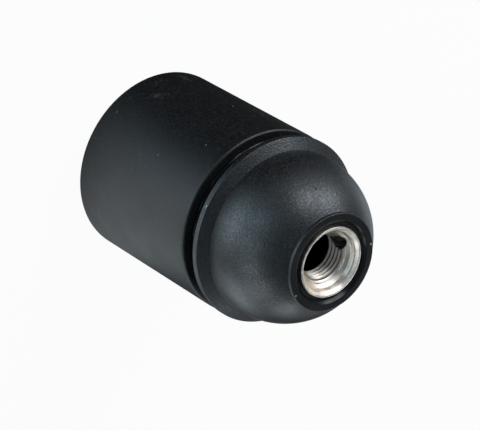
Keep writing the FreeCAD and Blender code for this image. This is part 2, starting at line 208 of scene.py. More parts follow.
def thread_tree() -> GrownTree:
    """Lays out a tube round +Z whose wall carries a right-hand screw thread that fades out at both ends.

    Returns:
        The tree.
    """
    tree = GrownTree("screw_thread")
    segments = tree.input("Segments", "Int", 96)
    rings = tree.input("Rings", "Int", 64)
    radius = tree.input("Radius")
    start = tree.input("Start")
    length = tree.input("Length")
    pitch = tree.input("Pitch")
    depth = tree.input("Depth")
    foot = tree.input("Foot", "Float", 0.2)
    head = tree.input("Head", "Float", 0.8)
    round_share = tree.input("Roundness", "Float", 0.0)
    runout = tree.input("Runout")
    phase = tree.input("Phase")
    grid = tree.add("GeometryNodeMeshGrid", {
        "Size X": 1.0, "Size Y": 1.0,
        "Vertices X": tree.math("ADD", segments, 1.0), "Vertices Y": tree.math("ADD", rings, 1.0)})
    place = tree.add("GeometryNodeInputPosition")
    along = tree.tree.nodes.new("ShaderNodeSeparateXYZ")
    tree.tree.links.new(place, along.inputs[0])
    around = tree.math("ADD", along.outputs[0], 0.5)
    climbed = tree.math("MULTIPLY", tree.math("ADD", along.outputs[1], 0.5), length)
    level = tree.math("ADD", start, climbed)
    turns = tree.math("ADD", tree.math("SUBTRACT", tree.math("DIVIDE", level, pitch), around), phase)
    saw = tree.math("SUBTRACT", tree.math("MULTIPLY", tree.math("FRACT", turns), 2.0), 1.0)
    wave = tree.math("ABSOLUTE", saw)
    flank = tree.add("ShaderNodeMapRange", {0: wave, 1: foot, 2: head})
    eased = tree.add("ShaderNodeMapRange", {0: wave, 1: foot, 2: head}, interpolation_type="SMOOTHSTEP")
    ridge = tree.add("ShaderNodeMix", {0: round_share, 2: flank, 3: eased})
    left = tree.math("SUBTRACT", length, climbed)
    fades = [tree.add("ShaderNodeMapRange", {0: side, 1: 0.0, 2: runout}, interpolation_type="SMOOTHSTEP")
             for side in (climbed, left)]
    lift = tree.math("MULTIPLY", tree.math("MULTIPLY", *fades), tree.math("MULTIPLY", ridge, depth))
    reach = tree.math("ADD", radius, lift)
    angle = tree.math("MULTIPLY", around, TURN)
    spot = tree.add("ShaderNodeCombineXYZ", {
        0: tree.math("MULTIPLY", reach, tree.math("COSINE", angle)),
        1: tree.math("MULTIPLY", reach, tree.math("SINE", angle)), 2: level})
    tree.close(tree.add("GeometryNodeSetPosition", {"Geometry": grid, "Position": spot}))
    return tree


def rib_tree() -> GrownTree:
    """Lays out a ring of upright ribs between two walls.

    Returns:
        The tree.
    """
    tree = GrownTree("rib_ring")
    count = tree.input("Count", "Int", 8)
    inner = tree.input("Inner")
    outer = tree.input("Outer")
    width = tree.input("Width")
    bottom = tree.input("Bottom")
    top = tree.input("Top")
    size = tree.add("ShaderNodeCombineXYZ", {
        0: tree.math("SUBTRACT", outer, inner), 1: width, 2: tree.math("SUBTRACT", top, bottom)})
    rib = tree.add("GeometryNodeMeshCube", {"Size": size, "Vertices X": 3, "Vertices Z": 9})
    stands = tree.add("GeometryNodePoints", {"Count": count})
    step = tree.math("DIVIDE", TURN, count)
    turn = tree.add("ShaderNodeCombineXYZ", {
        2: tree.math("MULTIPLY", tree.add("GeometryNodeInputIndex"), step)})
    ring = tree.add("GeometryNodeInstanceOnPoints", {"Points": stands, "Instance": rib, "Rotation": turn})
    offset = tree.add("ShaderNodeCombineXYZ", {
        0: tree.math("MULTIPLY", tree.math("ADD", outer, inner), 0.5),
        2: tree.math("MULTIPLY", tree.math("ADD", top, bottom), 0.5)})
    tree.close(tree.add("GeometryNodeTranslateInstances",
                        {"Instances": ring, "Translation": offset, "Local Space": True}))
    return tree


# ---------------------------------------------------------------- finishes


class Paint(Wiring):
    """Material under construction: coordinates in metres, and one principled surface."""

    def __init__(self, name: str) -> None:
        """Makes a material with an empty tree.

        Args:
            name: name of the material.
        """
        self.material = bpy.data.materials.new(name)
        self.material.use_nodes = True
        super().__init__(self.material.node_tree)
        self.tree.nodes.clear()
        self.place = self.add("ShaderNodeTexCoord", output="Object")

    def noise(self, size: float, detail: float = 2.0, roughness: float = 0.5,
              place: object = None) -> bpy.types.NodeSocket:
        """Cloudy pattern with features of a size in millimetres; about 0.5 on average."""
        return self.add("ShaderNodeTexNoise", {"Vector": place or self.place, "Scale": 1.0 / (size * MM),
                                               "Detail": detail, "Roughness": roughness})

    def cells(self, size: float, output: str = "Distance", place: object = None) -> bpy.types.NodeSocket:
        """Random cells of a size in millimetres: distance to the middle in cell sizes, or a colour."""
        return self.add("ShaderNodeTexVoronoi", {"Vector": place or self.place, "Scale": 1.0 / (size * MM)},
                        output=output)

    def moved(self, offset: Point, turn: Point = (0, 0, 0), scale: Point = (1, 1, 1)) -> bpy.types.NodeSocket:
        """Coordinates shifted in millimetres, turned in degrees and stretched."""
        return self.add("ShaderNodeMapping", {
            "Vector": self.place, "Location": [v * MM for v in offset],
            "Rotation": [math.radians(v) for v in turn], "Scale": scale})

    def mix(self, share: object, first: object, second: object) -> bpy.types.NodeSocket:
        """Colour between two colours."""
        first, second = (v if isinstance(v, bpy.types.NodeSocket) else (*v, 1.0) for v in (first, second))
        return self.add("ShaderNodeMix", {0: share, 6: first, 7: second}, output=2, data_type="RGBA")

    def near(self, centre: Point, reach: float) -> bpy.types.NodeSocket:
        """One at a point in millimetres, falling to nothing at the reach."""
        gap = self.add("ShaderNodeVectorMath", {0: self.place, 1: [v * MM for v in centre]},
                       output="Value", operation="DISTANCE")
        return self.ramp(gap, 0.0, reach * MM, 1.0, 0.0)

    def specks(self, spacing: float, size: float, share: float, shift: float = 0.0) -> bpy.types.NodeSocket:
        """Sparse small grains: one where a grain lies.

        Args:
            spacing: distance between places where a grain may lie, in millimetres.
            size: radius of a large grain, in millimetres.
            share: share of the places that are taken.
            shift: moves the pattern, in millimetres.

        Returns:
            The mask.
        """
        place = self.moved((shift, shift * 0.7, shift * 1.3))
        gap = self.cells(spacing, "Distance", place)
        pick = self.add("ShaderNodeSeparateColor", {0: self.cells(spacing, "Color", place)}, output=0)
        taken = self.ramp(pick, 1.0 - share, 1.0, 0.0, size / spacing, smooth=False)
        return self.math("MULTIPLY", self.math("SUBTRACT", taken, gap), 40.0, clamp=True)

    def hairlines(self, size: float, thickness: float, cover: float, turn: Point) -> bpy.types.NodeSocket:
        """Faint long scratches: one where a scratch runs.

        Args:
            size: spacing of the bends of the scratches, in millimetres.
            thickness: width of a line as a share of the pattern.
            cover: how much of the surface is free of scratches, 0 to 1.
            turn: direction of the scratches, in degrees.

        Returns:
            The mask.
        """
        place = self.moved((3.1, 1.7, 0.4), turn, (1.0, 0.12, 1.0))
        line = self.math("ABSOLUTE", self.math("SUBTRACT", self.noise(size, 1.0, 0.4, place), 0.5))
        thin = self.ramp(line, 0.0, thickness, 1.0, 0.0)
        return self.math("MULTIPLY", thin, self.ramp(self.noise(size * 2.3, 3.0), cover, cover + 0.08))

    def bump(self, height: object, distance: float, under: object = None) -> bpy.types.NodeSocket:
        """Bends the surface's normal by a height.

        Args:
            height: the height, 0 to 1.
            distance: what a height of one stands for, in millimetres.
            under: normal that this one is laid over.

        Returns:
            The bent normal.
        """
        inputs = {"Height": height, "Distance": distance * MM, "Strength": 1.0}
        if under is not None:
            inputs["Normal"] = under
        return self.add("ShaderNodeBump", inputs)

    def surface(self, inputs: dict) -> bpy.types.Material:
        """Closes the material with a principled surface.

        Args:
            inputs: value or socket for each input of the surface.

        Returns:
            The finished material.
        """
        shader = self.add("ShaderNodeBsdfPrincipled", inputs)
        self.add("ShaderNodeOutputMaterial", {"Surface": shader})
        return self.material


@dataclass(frozen=True)
class SurfaceMark:
    """Mark painted on a surface, used for stains and dust and also for painted shade and painted glints: its
    middle and reach in millimetres, its colour, strength and dullness.
    """

    centre: Point
    reach: float
    colour: Colour
    amount: float
    dull: float = 0.15
    patchy: bool = True
    patch: float = 1.4

    def mask(self, paint: Paint) -> bpy.types.NodeSocket:
        """Finds where the mark lies: solid, or broken up into patches.

        Args:
            paint: the material that the mark is on.

        Returns:
            The mask, one where the mark is.
        """
        area = paint.near(self.centre, self.reach)
        if not self.patchy:
            return paint.math("MULTIPLY", area, 2.2, clamp=True)
        return paint.math("MULTIPLY", area, paint.ramp(paint.noise(self.patch, 3.0, 0.65), 0.45, 0.62))


@dataclass(frozen=True)
class MouldedPlastic:
    """Black thermoset as it comes from the mould."""

    name: str
    colour: Colour
    roughness: float
    grain_size: float
    grain_height: float
    specular: float = 0.5
    dust: float = 0.25
    scuffs: float = 0.3
    stains_and_painted_light: tuple[SurfaceMark, ...] = ()
    fleck: float = 0.0
    # Painted light colour: a bluish tint on the reflections, standing in for the colour of the light.
    painted_reflection_tint: Colour = (0.92, 0.96, 1.0)

    def build(self) -> bpy.types.Material:
        """Makes the material: uneven tone, spark-eroded grain, dust, fine scuffs, the marks (stains, and
        painted glints where given), and a painted bluish tint on its reflections.

        Returns:
            The finished material.
        """
        paint = Paint(self.name)
        cloud = paint.ramp(paint.noise(14.0, 4.0, 0.6), 0.3, 0.7)
        tone = paint.mix(cloud, [c * 0.8 for c in self.colour], [c * 1.2 for c in self.colour])
        dull: object = 0.0
        for surface_mark in self.stains_and_painted_light:
            mark = surface_mark.mask(paint)
            tone = paint.mix(paint.math("MULTIPLY", mark, surface_mark.amount), tone, surface_mark.colour)
            dull = paint.math("MULTIPLY_ADD", mark, surface_mark.dull, dull)
        scuff = paint.math("MULTIPLY", paint.hairlines(5.0, 0.006, 0.56, (20, 35, 60)), self.scuffs)
        tone = paint.mix(scuff, tone, (0.16, 0.155, 0.15))
        grains = paint.math("MAXIMUM", paint.specks(2.6, 0.11, 0.16), paint.specks(1.3, 0.07, 0.10, 5.0))
        tone = paint.mix(paint.math("MULTIPLY", grains, self.dust), tone, (0.5, 0.48, 0.45))
        flakes = paint.cells(self.grain_size * 0.6, "Color")
        facet = paint.add("ShaderNodeSeparateColor", {0: flakes}, output=0)
        tone = paint.mix(paint.math("MULTIPLY", paint.ramp(facet, 0.45, 1.0), self.fleck * 0.4), tone,
                         (0.09, 0.092, 0.095))
        # The painted bluish tint of the reflections, darkened cell by cell by the grain's flecks.
        painted_reflection_tint = paint.mix(paint.math("MULTIPLY", facet, self.fleck), self.painted_reflection_tint, [c * 0.12 for c in self.painted_reflection_tint])
        grain = paint.noise(self.grain_size, 1.0, 0.5)
        height = paint.math("MULTIPLY_ADD", facet, 0.2, grain)
        normal = paint.bump(height, self.grain_height)
        normal = paint.bump(paint.noise(7.0, 2.0), 0.02, normal)
        satin = paint.ramp(paint.noise(9.0, 3.0), 0.3, 0.7, self.roughness - 0.03, self.roughness + 0.04)
        rough = paint.math("ADD", satin, paint.math("MULTIPLY_ADD", grains, 0.3, dull))
        return paint.surface({"Base Color": tone, "Roughness": rough, "Normal": normal, "IOR": 1.55,
                              "Specular IOR Level": self.specular,
                              "Specular Tint": painted_reflection_tint if self.fleck else (*self.painted_reflection_tint, 1.0)})


@dataclass(frozen=True)
class TurnedMetal:
    """Metal cut on a lathe about the holder's axis, then plated."""

    name: str
    colour: Colour
    roughness: float
    ring_spacing: float
    ring_height: float
    grime_and_shade: float = 0.5
    root_shade_radius: float = 4.7
    root_shade_level: float = 56.6
    stains_and_painted_light: tuple[SurfaceMark, ...] = ()

    def build(self) -> bpy.types.Material:
        """Makes the material: tool rings about +Z, cloudy plating, painted shade in the thread's roots deep
        in the bore, and spots of grime.

        Returns:
            The finished material.
        """
        paint = Paint(self.name)
        split = paint.tree.nodes.new("ShaderNodeSeparateXYZ")
        paint.tree.links.new(paint.place, split.inputs[0])
        squares = [paint.math("MULTIPLY", split.outputs[k], split.outputs[k]) for k in range(2)]
        radius = paint.math("SQRT", paint.math("ADD", *squares))
        wall = paint.math("ADD", radius, paint.math("MULTIPLY", split.outputs[2], 1.7))
        ring = paint.add("ShaderNodeTexNoise", {
            "W": wall, "Scale": 1 / (self.ring_spacing * MM), "Detail": 3.0, "Roughness": 0.65},
            noise_dimensions="1D")
        cloud = paint.noise(1.6, 4.0, 0.62)
        tone = paint.mix(paint.ramp(cloud, 0.35, 0.7), [c * 0.72 for c in self.colour], self.colour)
        tone = paint.mix(paint.ramp(paint.noise(2.7, 2.0), 0.52, 0.68, 0.0, 0.45), tone,
                         (self.colour[0], self.colour[1] * 0.86, self.colour[2] * 0.78))
        # Painted shade: the thread's roots below the mouth are darkened, where shade falls deep in the bore.
        deep = paint.ramp(radius, self.root_shade_radius * MM, (self.root_shade_radius + 0.25) * MM)
        low = paint.ramp(split.outputs[2], self.root_shade_level * MM, (self.root_shade_level - 0.4) * MM)
        dirt_and_shade = paint.math("MULTIPLY", paint.math("MULTIPLY", deep, low), self.grime_and_shade)
        spots = paint.math("MULTIPLY", paint.ramp(paint.noise(0.7, 4.0, 0.7), 0.66, 0.74), self.grime_and_shade)
        dirt_and_shade = paint.math("MAXIMUM", dirt_and_shade, spots)
        for surface_mark in self.stains_and_painted_light:
            dirt_and_shade = paint.math("MAXIMUM", dirt_and_shade, paint.math("MULTIPLY", surface_mark.mask(paint), surface_mark.amount))
        # One dark colour serves the grime spots and the painted shade of the roots and of the marks.
        tone = paint.mix(dirt_and_shade, tone, (0.03, 0.025, 0.02))
        normal = paint.bump(ring, self.ring_height)
        normal = paint.bump(paint.noise(0.35, 3.0), 0.002, normal)
        rough = paint.math("ADD", paint.ramp(cloud, 0.3, 0.7, self.roughness - 0.05, self.roughness + 0.08),
                           paint.math("MULTIPLY", dirt_and_shade, 0.3))
        return paint.surface({"Base Color": tone, "Metallic": 1.0, "Roughness": rough, "Normal": normal})


@dataclass(frozen=True)
class SheetMetal:
    """Rolled, sawn or drawn metal of the small parts."""

    name: str
    colour: Colour
    roughness: float
    grain_turn: Point
    tarnish: float = 0.35

    def build(self) -> bpy.types.Material:
        """Makes the material: rolling lines along one direction, tarnish in clouds and fine pits.

        Returns:
            The finished material.
        """
        paint = Paint(self.name)
        lines = paint.noise(0.5, 4.0, 0.6, paint.moved((0, 0, 0), self.grain_turn, (1.0, 0.05, 1.0)))
        cloud = paint.ramp(paint.noise(2.2, 4.0, 0.6), 0.42, 0.66)
        tone = paint.mix(paint.math("MULTIPLY", cloud, self.tarnish), self.colour,
                         (self.colour[0] * 0.42, self.colour[1] * 0.33, self.colour[2] * 0.25))
        tone = paint.mix(paint.math("MULTIPLY", lines, 0.3), tone, [c * 0.7 for c in self.colour])
        normal = paint.bump(lines, 0.008)
        normal = paint.bump(paint.cells(0.22), 0.004, normal)
        rough = paint.math("ADD", paint.math("MULTIPLY", lines, 0.16),
                           paint.ramp(cloud, 0.0, 1.0, self.roughness - 0.08, self.roughness + 0.1))
        return paint.surface({"Base Color": tone, "Metallic": 1.0, "Roughness": rough, "Normal": normal})


@dataclass(frozen=True)
class PaintedPool:
    """Soft pool of light painted on the ground, a glow that only reflections see; 0 is towards -Y, 90 towards
    +X.
    """

    azimuth: float
    distance: float
    reach: float
    light: Colour

    def centre(self) -> Point:
        """Middle of the pool in millimetres."""
        turn = math.radians(self.azimuth)
        return self.distance * math.sin(turn), -self.distance * math.cos(turn), 0.0


@dataclass(frozen=True)
class PaleGround:
    """Plain white ground: matt under the lamps and white to the eye; reflections also show painted pools of
    light.

    Near the holder, reflections see a painted dark patch with the pools on it, which keeps the black plastic
    black.
    """

    name: str
    colour: Colour
    white_share: float
    painted_dark_reach: float
    base: Colour
    painted_pools: tuple[PaintedPool, ...]
    painted_dark_edge: float = 0.25

    def build(self) -> bpy.types.Material:
        """Makes the material: matt to light, white to the eye, a painted dark patch and painted pools of
        light to reflections.

        Returns:
            The finished material.
        """
        paint = Paint(self.name)
        matt = paint.add("ShaderNodeBsdfDiffuse", {"Color": (*self.colour, 1.0), "Roughness": 0.6})
        white = paint.add("ShaderNodeEmission", {"Color": (1, 1, 1, 1), "Strength": 1.0})
        # Painted light: for reflections only, the ground glows with pools of light on a dark base.
        light: object = self.base
        for pool in self.painted_pools:
            patch = paint.near(pool.centre(), pool.reach)
            glow = paint.add("ShaderNodeVectorMath", {0: pool.light, 3: patch}, operation="SCALE")
            light = paint.add("ShaderNodeVectorMath", {0: light, 1: glow}, operation="ADD")
        # Painted shade: within this reach the reflections see the dark base instead of white.
        in_painted_dark = paint.ramp(paint.near((0.0, 0.0, 0.0), self.painted_dark_reach), 0.0, self.painted_dark_edge)
        light = paint.mix(paint.math("SUBTRACT", 1.0, in_painted_dark), light, (1.0, 1.0, 1.0))
        painted_reflection = paint.add("ShaderNodeEmission", {"Color": light, "Strength": 1.0})
        rays = paint.tree.nodes.new("ShaderNodeLightPath")
        direct = paint.math("MAXIMUM", rays.outputs["Is Camera Ray"], rays.outputs["Is Transmission Ray"])
        share = paint.math("MULTIPLY", direct, self.white_share)
        seen = paint.add("ShaderNodeMixShader", {0: rays.outputs["Is Glossy Ray"], 1: matt, 2: painted_reflection})
        blend = paint.add("ShaderNodeMixShader", {0: share, 1: seen, 2: white})
        paint.add("ShaderNodeOutputMaterial", {"Surface": blend})
        return paint.material


# ---------------------------------------------------------------- meshes


class ThreadForm(Enum):
    """Shape of a thread's flank: where it starts, where the crest begins, and how round it is."""

    EDISON = (0.0, 1.0, 1.0)
    MOULDED = (0.3, 0.72, 0.25)
    METRIC = (0.08, 0.92, 0.0)


@dataclass(frozen=True)
class Thread:
    """Screw thread on an upright wall; a positive depth stands outwards."""

    form: ThreadForm
    pitch: float
    depth: float
    runout: float
    phase: float = 0.0
    samples: int = 18

    def tube(self, tree: GrownTree, radius: float, low: float, high: float, segments: int) -> bpy.types.Mesh:
        """Makes the threaded wall.

        Args:
            tree: the thread tree.
            radius: radius of the plain wall, in millimetres.
            low: level where the wall starts.
            high: level where it ends.
            segments: divisions round the axis.

        Returns:
            The wall as an open tube.
        """
        foot, head, roundness = self.form.value
        rings = max(8, math.ceil((high - low) / self.pitch * self.samples))
        return tree.grow("thread", segments=segments, rings=rings, radius=radius * MM, start=low * MM,
                         length=(high - low) * MM, pitch=self.pitch * MM, depth=self.depth * MM, foot=foot,
                         head=head, roundness=roundness, runout=self.runout * MM, phase=self.phase)


@dataclass(frozen=True)
class Corner:
    """Corner of a half section, with what the wall from it to the next corner is like."""

    radius: float
    level: float
    rounding: float = 0.0
    finish: int = 0
    thread: Thread | None = None


@dataclass
class Station:
    """Point of a half section after rounding."""

    radius: float
    level: float
    finish: int
    open: bool = False


class Outline:
    """Closed half section that is turned about +Z."""

    ARC_STEPS = 5
    SUPPORT = 0.07

    def __init__(self, corners: Sequence[Corner]) -> None:
        """Rounds the corners and adds a ring beside each, which keeps the flats flat.

        Args:
            corners: the corners in order.
        """
        self.threads: list[tuple[Corner, Corner]] = []
        self.stations: list[Station] = []
        count = len(corners)
        for index, corner in enumerate(corners):
            before, after = corners[index - 1], corners[(index + 1) % count]
            self._round(before, corner, after)
            if corner.thread:
                self.stations[-1].open = True
                self.threads.append((corner, after))
        self._support()

    def _round(self, before: Corner, corner: Corner, after: Corner) -> None:
        """Adds a corner's own stations, an arc where it is rounded.

        Args:
            before: the corner before it.
            corner: the corner.
            after: the corner after it.
        """
        middle = Vector((corner.radius, corner.level))
        back = (Vector((before.radius, before.level)) - middle).normalized()
        ahead = (Vector((after.radius, after.level)) - middle).normalized()
        half = back.angle(ahead) / 2 if corner.rounding > 0 else 0.0
        if corner.rounding <= 0 or half > math.radians(89):
            self.stations.append(Station(corner.radius, corner.level, corner.finish))
            return
        setback = corner.rounding / math.tan(half)
        centre = middle + (back + ahead).normalized() * (corner.rounding / math.sin(half))
        first, last = middle + back * setback - centre, middle + ahead * setback - centre
        for step in range(self.ARC_STEPS + 1):
            spot = centre + first.lerp(last, step / self.ARC_STEPS).normalized() * corner.rounding
            self.stations.append(Station(spot.x, spot.y, corner.finish))

    def _support(self) -> None:
        """Adds a ring near both ends of every long plain wall."""
        gap = self.SUPPORT
        result: list[Station] = []
        count = len(self.stations)
        for index, station in enumerate(self.stations):
            result.append(station)
            after = self.stations[(index + 1) % count]
            run = math.hypot(after.radius - station.radius, after.level - station.level)
            if station.open or run < gap * 6:
                continue
            for share in (gap / run, 1 - gap / run):
                result.append(Station(station.radius + (after.radius - station.radius) * share,
                                      station.level + (after.level - station.level) * share, station.finish))
        self.stations = result

    def turn(self, segments: int) -> bpy.types.Mesh:
        """Turns the section about the axis, leaving threaded walls out.

        Args:
            segments: divisions round the axis.

        Returns:
            The mesh, with poles closed.
        """
        verts: list[Point] = []
        rows: list[list[int]] = []
        for station in self.stations:
            if station.radius < 1e-6:
                rows.append([len(verts)] * segments)
                verts.append((0.0, 0.0, station.level * MM))
                continue
            rows.append(list(range(len(verts), len(verts) + segments)))
            verts.extend((station.radius * MM * math.cos(TURN * k / segments),
                          station.radius * MM * math.sin(TURN * k / segments), station.level * MM)
                         for k in range(segments))
        faces: list[list[int]] = []
        finishes: list[int] = []
        for index, station in enumerate(self.stations):
            if station.open:
                continue
            low, high = rows[index], rows[(index + 1) % len(rows)]
            for k in range(segments):
                after = (k + 1) % segments
                face = list(dict.fromkeys((low[k], low[after], high[after], high[k])))
                if len(face) > 2:
                    faces.append(face)
                    finishes.append(station.finish)
        mesh = bpy.data.meshes.new("turned")
        mesh.from_pydata(verts, [], faces)
        mesh.polygons.foreach_set("material_index", finishes)
        return mesh


class Join(Enum):
    """What a tool body does to a piece."""

    ADD = "UNION"
    CUT = "DIFFERENCE"
    KEEP = "INTERSECT"


class Workshop:
    """Makes and joins meshes, and keeps the node trees that they share."""

    def __init__(self) -> None:
        """Builds the shared node trees."""
        self.threads = thread_tree()
        self.ribs = rib_tree()

    def turned(self, name: str, corners: Sequence[Corner], materials: Materials, segments: int,
               place: Matrix | None = None, sharp: float = 32.0) -> bpy.types.Object:
        """Makes a turned piece with its threads.

        Args:
            name: name of the piece.
            corners: its half section.
            materials: one material for each finish number.
            segments: divisions round the axis.
            place: where the piece goes, when its section isn't about +Z.
            sharp: angle in degrees past which an edge stays crisp.

        Returns:
            The closed piece.
        """
        outline = Outline(corners)
        bm = bmesh.new()
        bm.from_mesh(outline.turn(segments))
        for first, last in outline.threads:
            ends = sorted((first.level, last.level))
            tube = first.thread.tube(self.threads, first.radius, ends[0], ends[1], segments)
            known = len(bm.faces)
            bm.from_mesh(tube)
            bm.faces.ensure_lookup_table()
            for face in bm.faces[known:]:
                face.material_index = first.finish
        bmesh.ops.remove_doubles(bm, verts=bm.verts, dist=WELD)
        bmesh.ops.recalc_face_normals(bm, faces=bm.faces)
        if place is not None:
            bmesh.ops.transform(bm, matrix=place, verts=bm.verts)
        return self.piece(name, bm, materials, sharp)

    def piece(self, name: str, bm: bmesh.types.BMesh, materials: Materials,
              sharp: float = 32.0) -> bpy.types.Object:
        """Turns working geometry into an object with smooth faces and crisp edges.

        Args:
            name: name of the piece.
            bm: the geometry, which is freed.
            materials: its materials.
            sharp: angle in degrees past which an edge stays crisp.

        Returns:
            The object, linked to the scene.
        """
        limit = math.radians(sharp)
        for edge in bm.edges:
            edge.smooth = len(edge.link_faces) == 2 and edge.calc_face_angle(0.0) < limit
        for face in bm.faces:
            face.smooth = True
        mesh = bpy.data.meshes.new(name)
        bm.to_mesh(mesh)
        bm.free()
        for material in materials:
            mesh.materials.append(material)
        piece = bpy.data.objects.new(name, mesh)
        bpy.context.scene.collection.objects.link(piece)
        return piece

    def combine(self, piece: bpy.types.Object, tools: Sequence[bpy.types.Object], join: Join,
                sharp: float = 32.0) -> bpy.types.Object:
        """Joins tool bodies with a piece.

        Args:
            piece: the piece that changes.
            tools: the bodies, which are removed afterwards.
            join: what the bodies do to the piece.
            sharp: angle in degrees past which an edge stays crisp.

        Returns:
            The new piece, under the same name.
        """
        for tool in tools:
            modifier = piece.modifiers.new(tool.name, "BOOLEAN")
            modifier.operation, modifier.solver, modifier.object = join.value, "EXACT", tool
        mesh = evaluated(piece)
        piece.modifiers.clear()
        for tool in tools:
            bpy.data.objects.remove(tool)
        name, materials = piece.name, list(piece.data.materials)
        bpy.data.objects.remove(piece)
        bm = bmesh.new()
        bm.from_mesh(mesh)
        bmesh.ops.dissolve_degenerate(bm, dist=1e-7, edges=bm.edges)
        return self.piece(name, bm, materials, sharp)

    def block(self, name: str, low: Point, high: Point, materials: Materials, place: Matrix | None = None,
              finish: int = 0) -> bpy.types.Object:
        """Makes a plain working block, for adding to a piece or cutting it.

        Args:
            name: name of the block.
            low: its lowest corner, in millimetres.
            high: its highest corner, in millimetres.
            materials: one material for each finish number.
            place: where the block goes.
            finish: its finish number.

        Returns:
            The block.
        """
        bm = bmesh.new()
        middle = [(a + b) / 2 * MM for a, b in zip(low, high)]
        size = [(b - a) * MM for a, b in zip(low, high)]
        matrix = Matrix.Translation(middle) @ Matrix.Diagonal((*size, 1.0))
        bmesh.ops.create_cube(bm, size=1.0, matrix=matrix)
        if place is not None:
            bmesh.ops.transform(bm, matrix=place, verts=bm.verts)
        for face in bm.faces:
            face.material_index = finish
        return self.piece(name, bm, materials)

    def softened(self, node: str, name: str, material: bpy.types.Material, width: float) -> bpy.types.Object:
        """Copy of a plain solid with its edges rounded.

        Args:
            node: the solid's name.
            name: name of the copy.
            material: its finish.
            width: width of the rounded edges, in millimetres.

        Returns:
            The rounded copy.
        """
        bm = bmesh.new()
        bm.from_mesh(bpy.data.objects[node].data)
        bmesh.ops.remove_doubles(bm, verts=bm.verts, dist=WELD)
        bmesh.ops.dissolve_limit(bm, angle_limit=math.radians(1.0), verts=bm.verts, edges=bm.edges)
        mesh = bpy.data.meshes.new(name)
        bm.to_mesh(mesh)
        bm.free()
        rough = bpy.data.objects.new(name + "_work", mesh)
        bpy.context.scene.collection.objects.link(rough)
        bevel = rough.modifiers.new("edges", "BEVEL")
        bevel.width, bevel.segments, bevel.limit_method = width * MM, 2, "ANGLE"
        bevel.angle_limit, bevel.use_clamp_overlap = math.radians(35), True
        done = bmesh.new()
        done.from_mesh(evaluated(rough))
        rough.modifiers.clear()
        bpy.data.objects.remove(rough)
        for face in done.faces:
            face.material_index = 0
        return self.piece(name, done, [material], 40.0)


def hang(piece: bpy.types.Object, body: str, slot: str, *nodes: str) -> bpy.types.Object:
    """Fixes a finished piece to a body of the frame and reports it.

    Args:
        piece: the finished piece.
        body: the body that it moves with.
        slot: name of a material slot; not used.
        nodes: the plain solids that it stands for.

    Returns:
        The same piece.
    """
    for node in nodes:
        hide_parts(node)
    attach(piece, body)
    triangles = sum(len(face.vertices) - 2 for face in piece.data.polygons)
    log.info("%s: %d triangles on %s", piece.name, triangles, body)
    return piece


# ---------------------------------------------------------------- sub-assemblies


NECK_THREAD = Thread(ThreadForm.MOULDED, 2.5, 0.7, 1.2, samples=20)


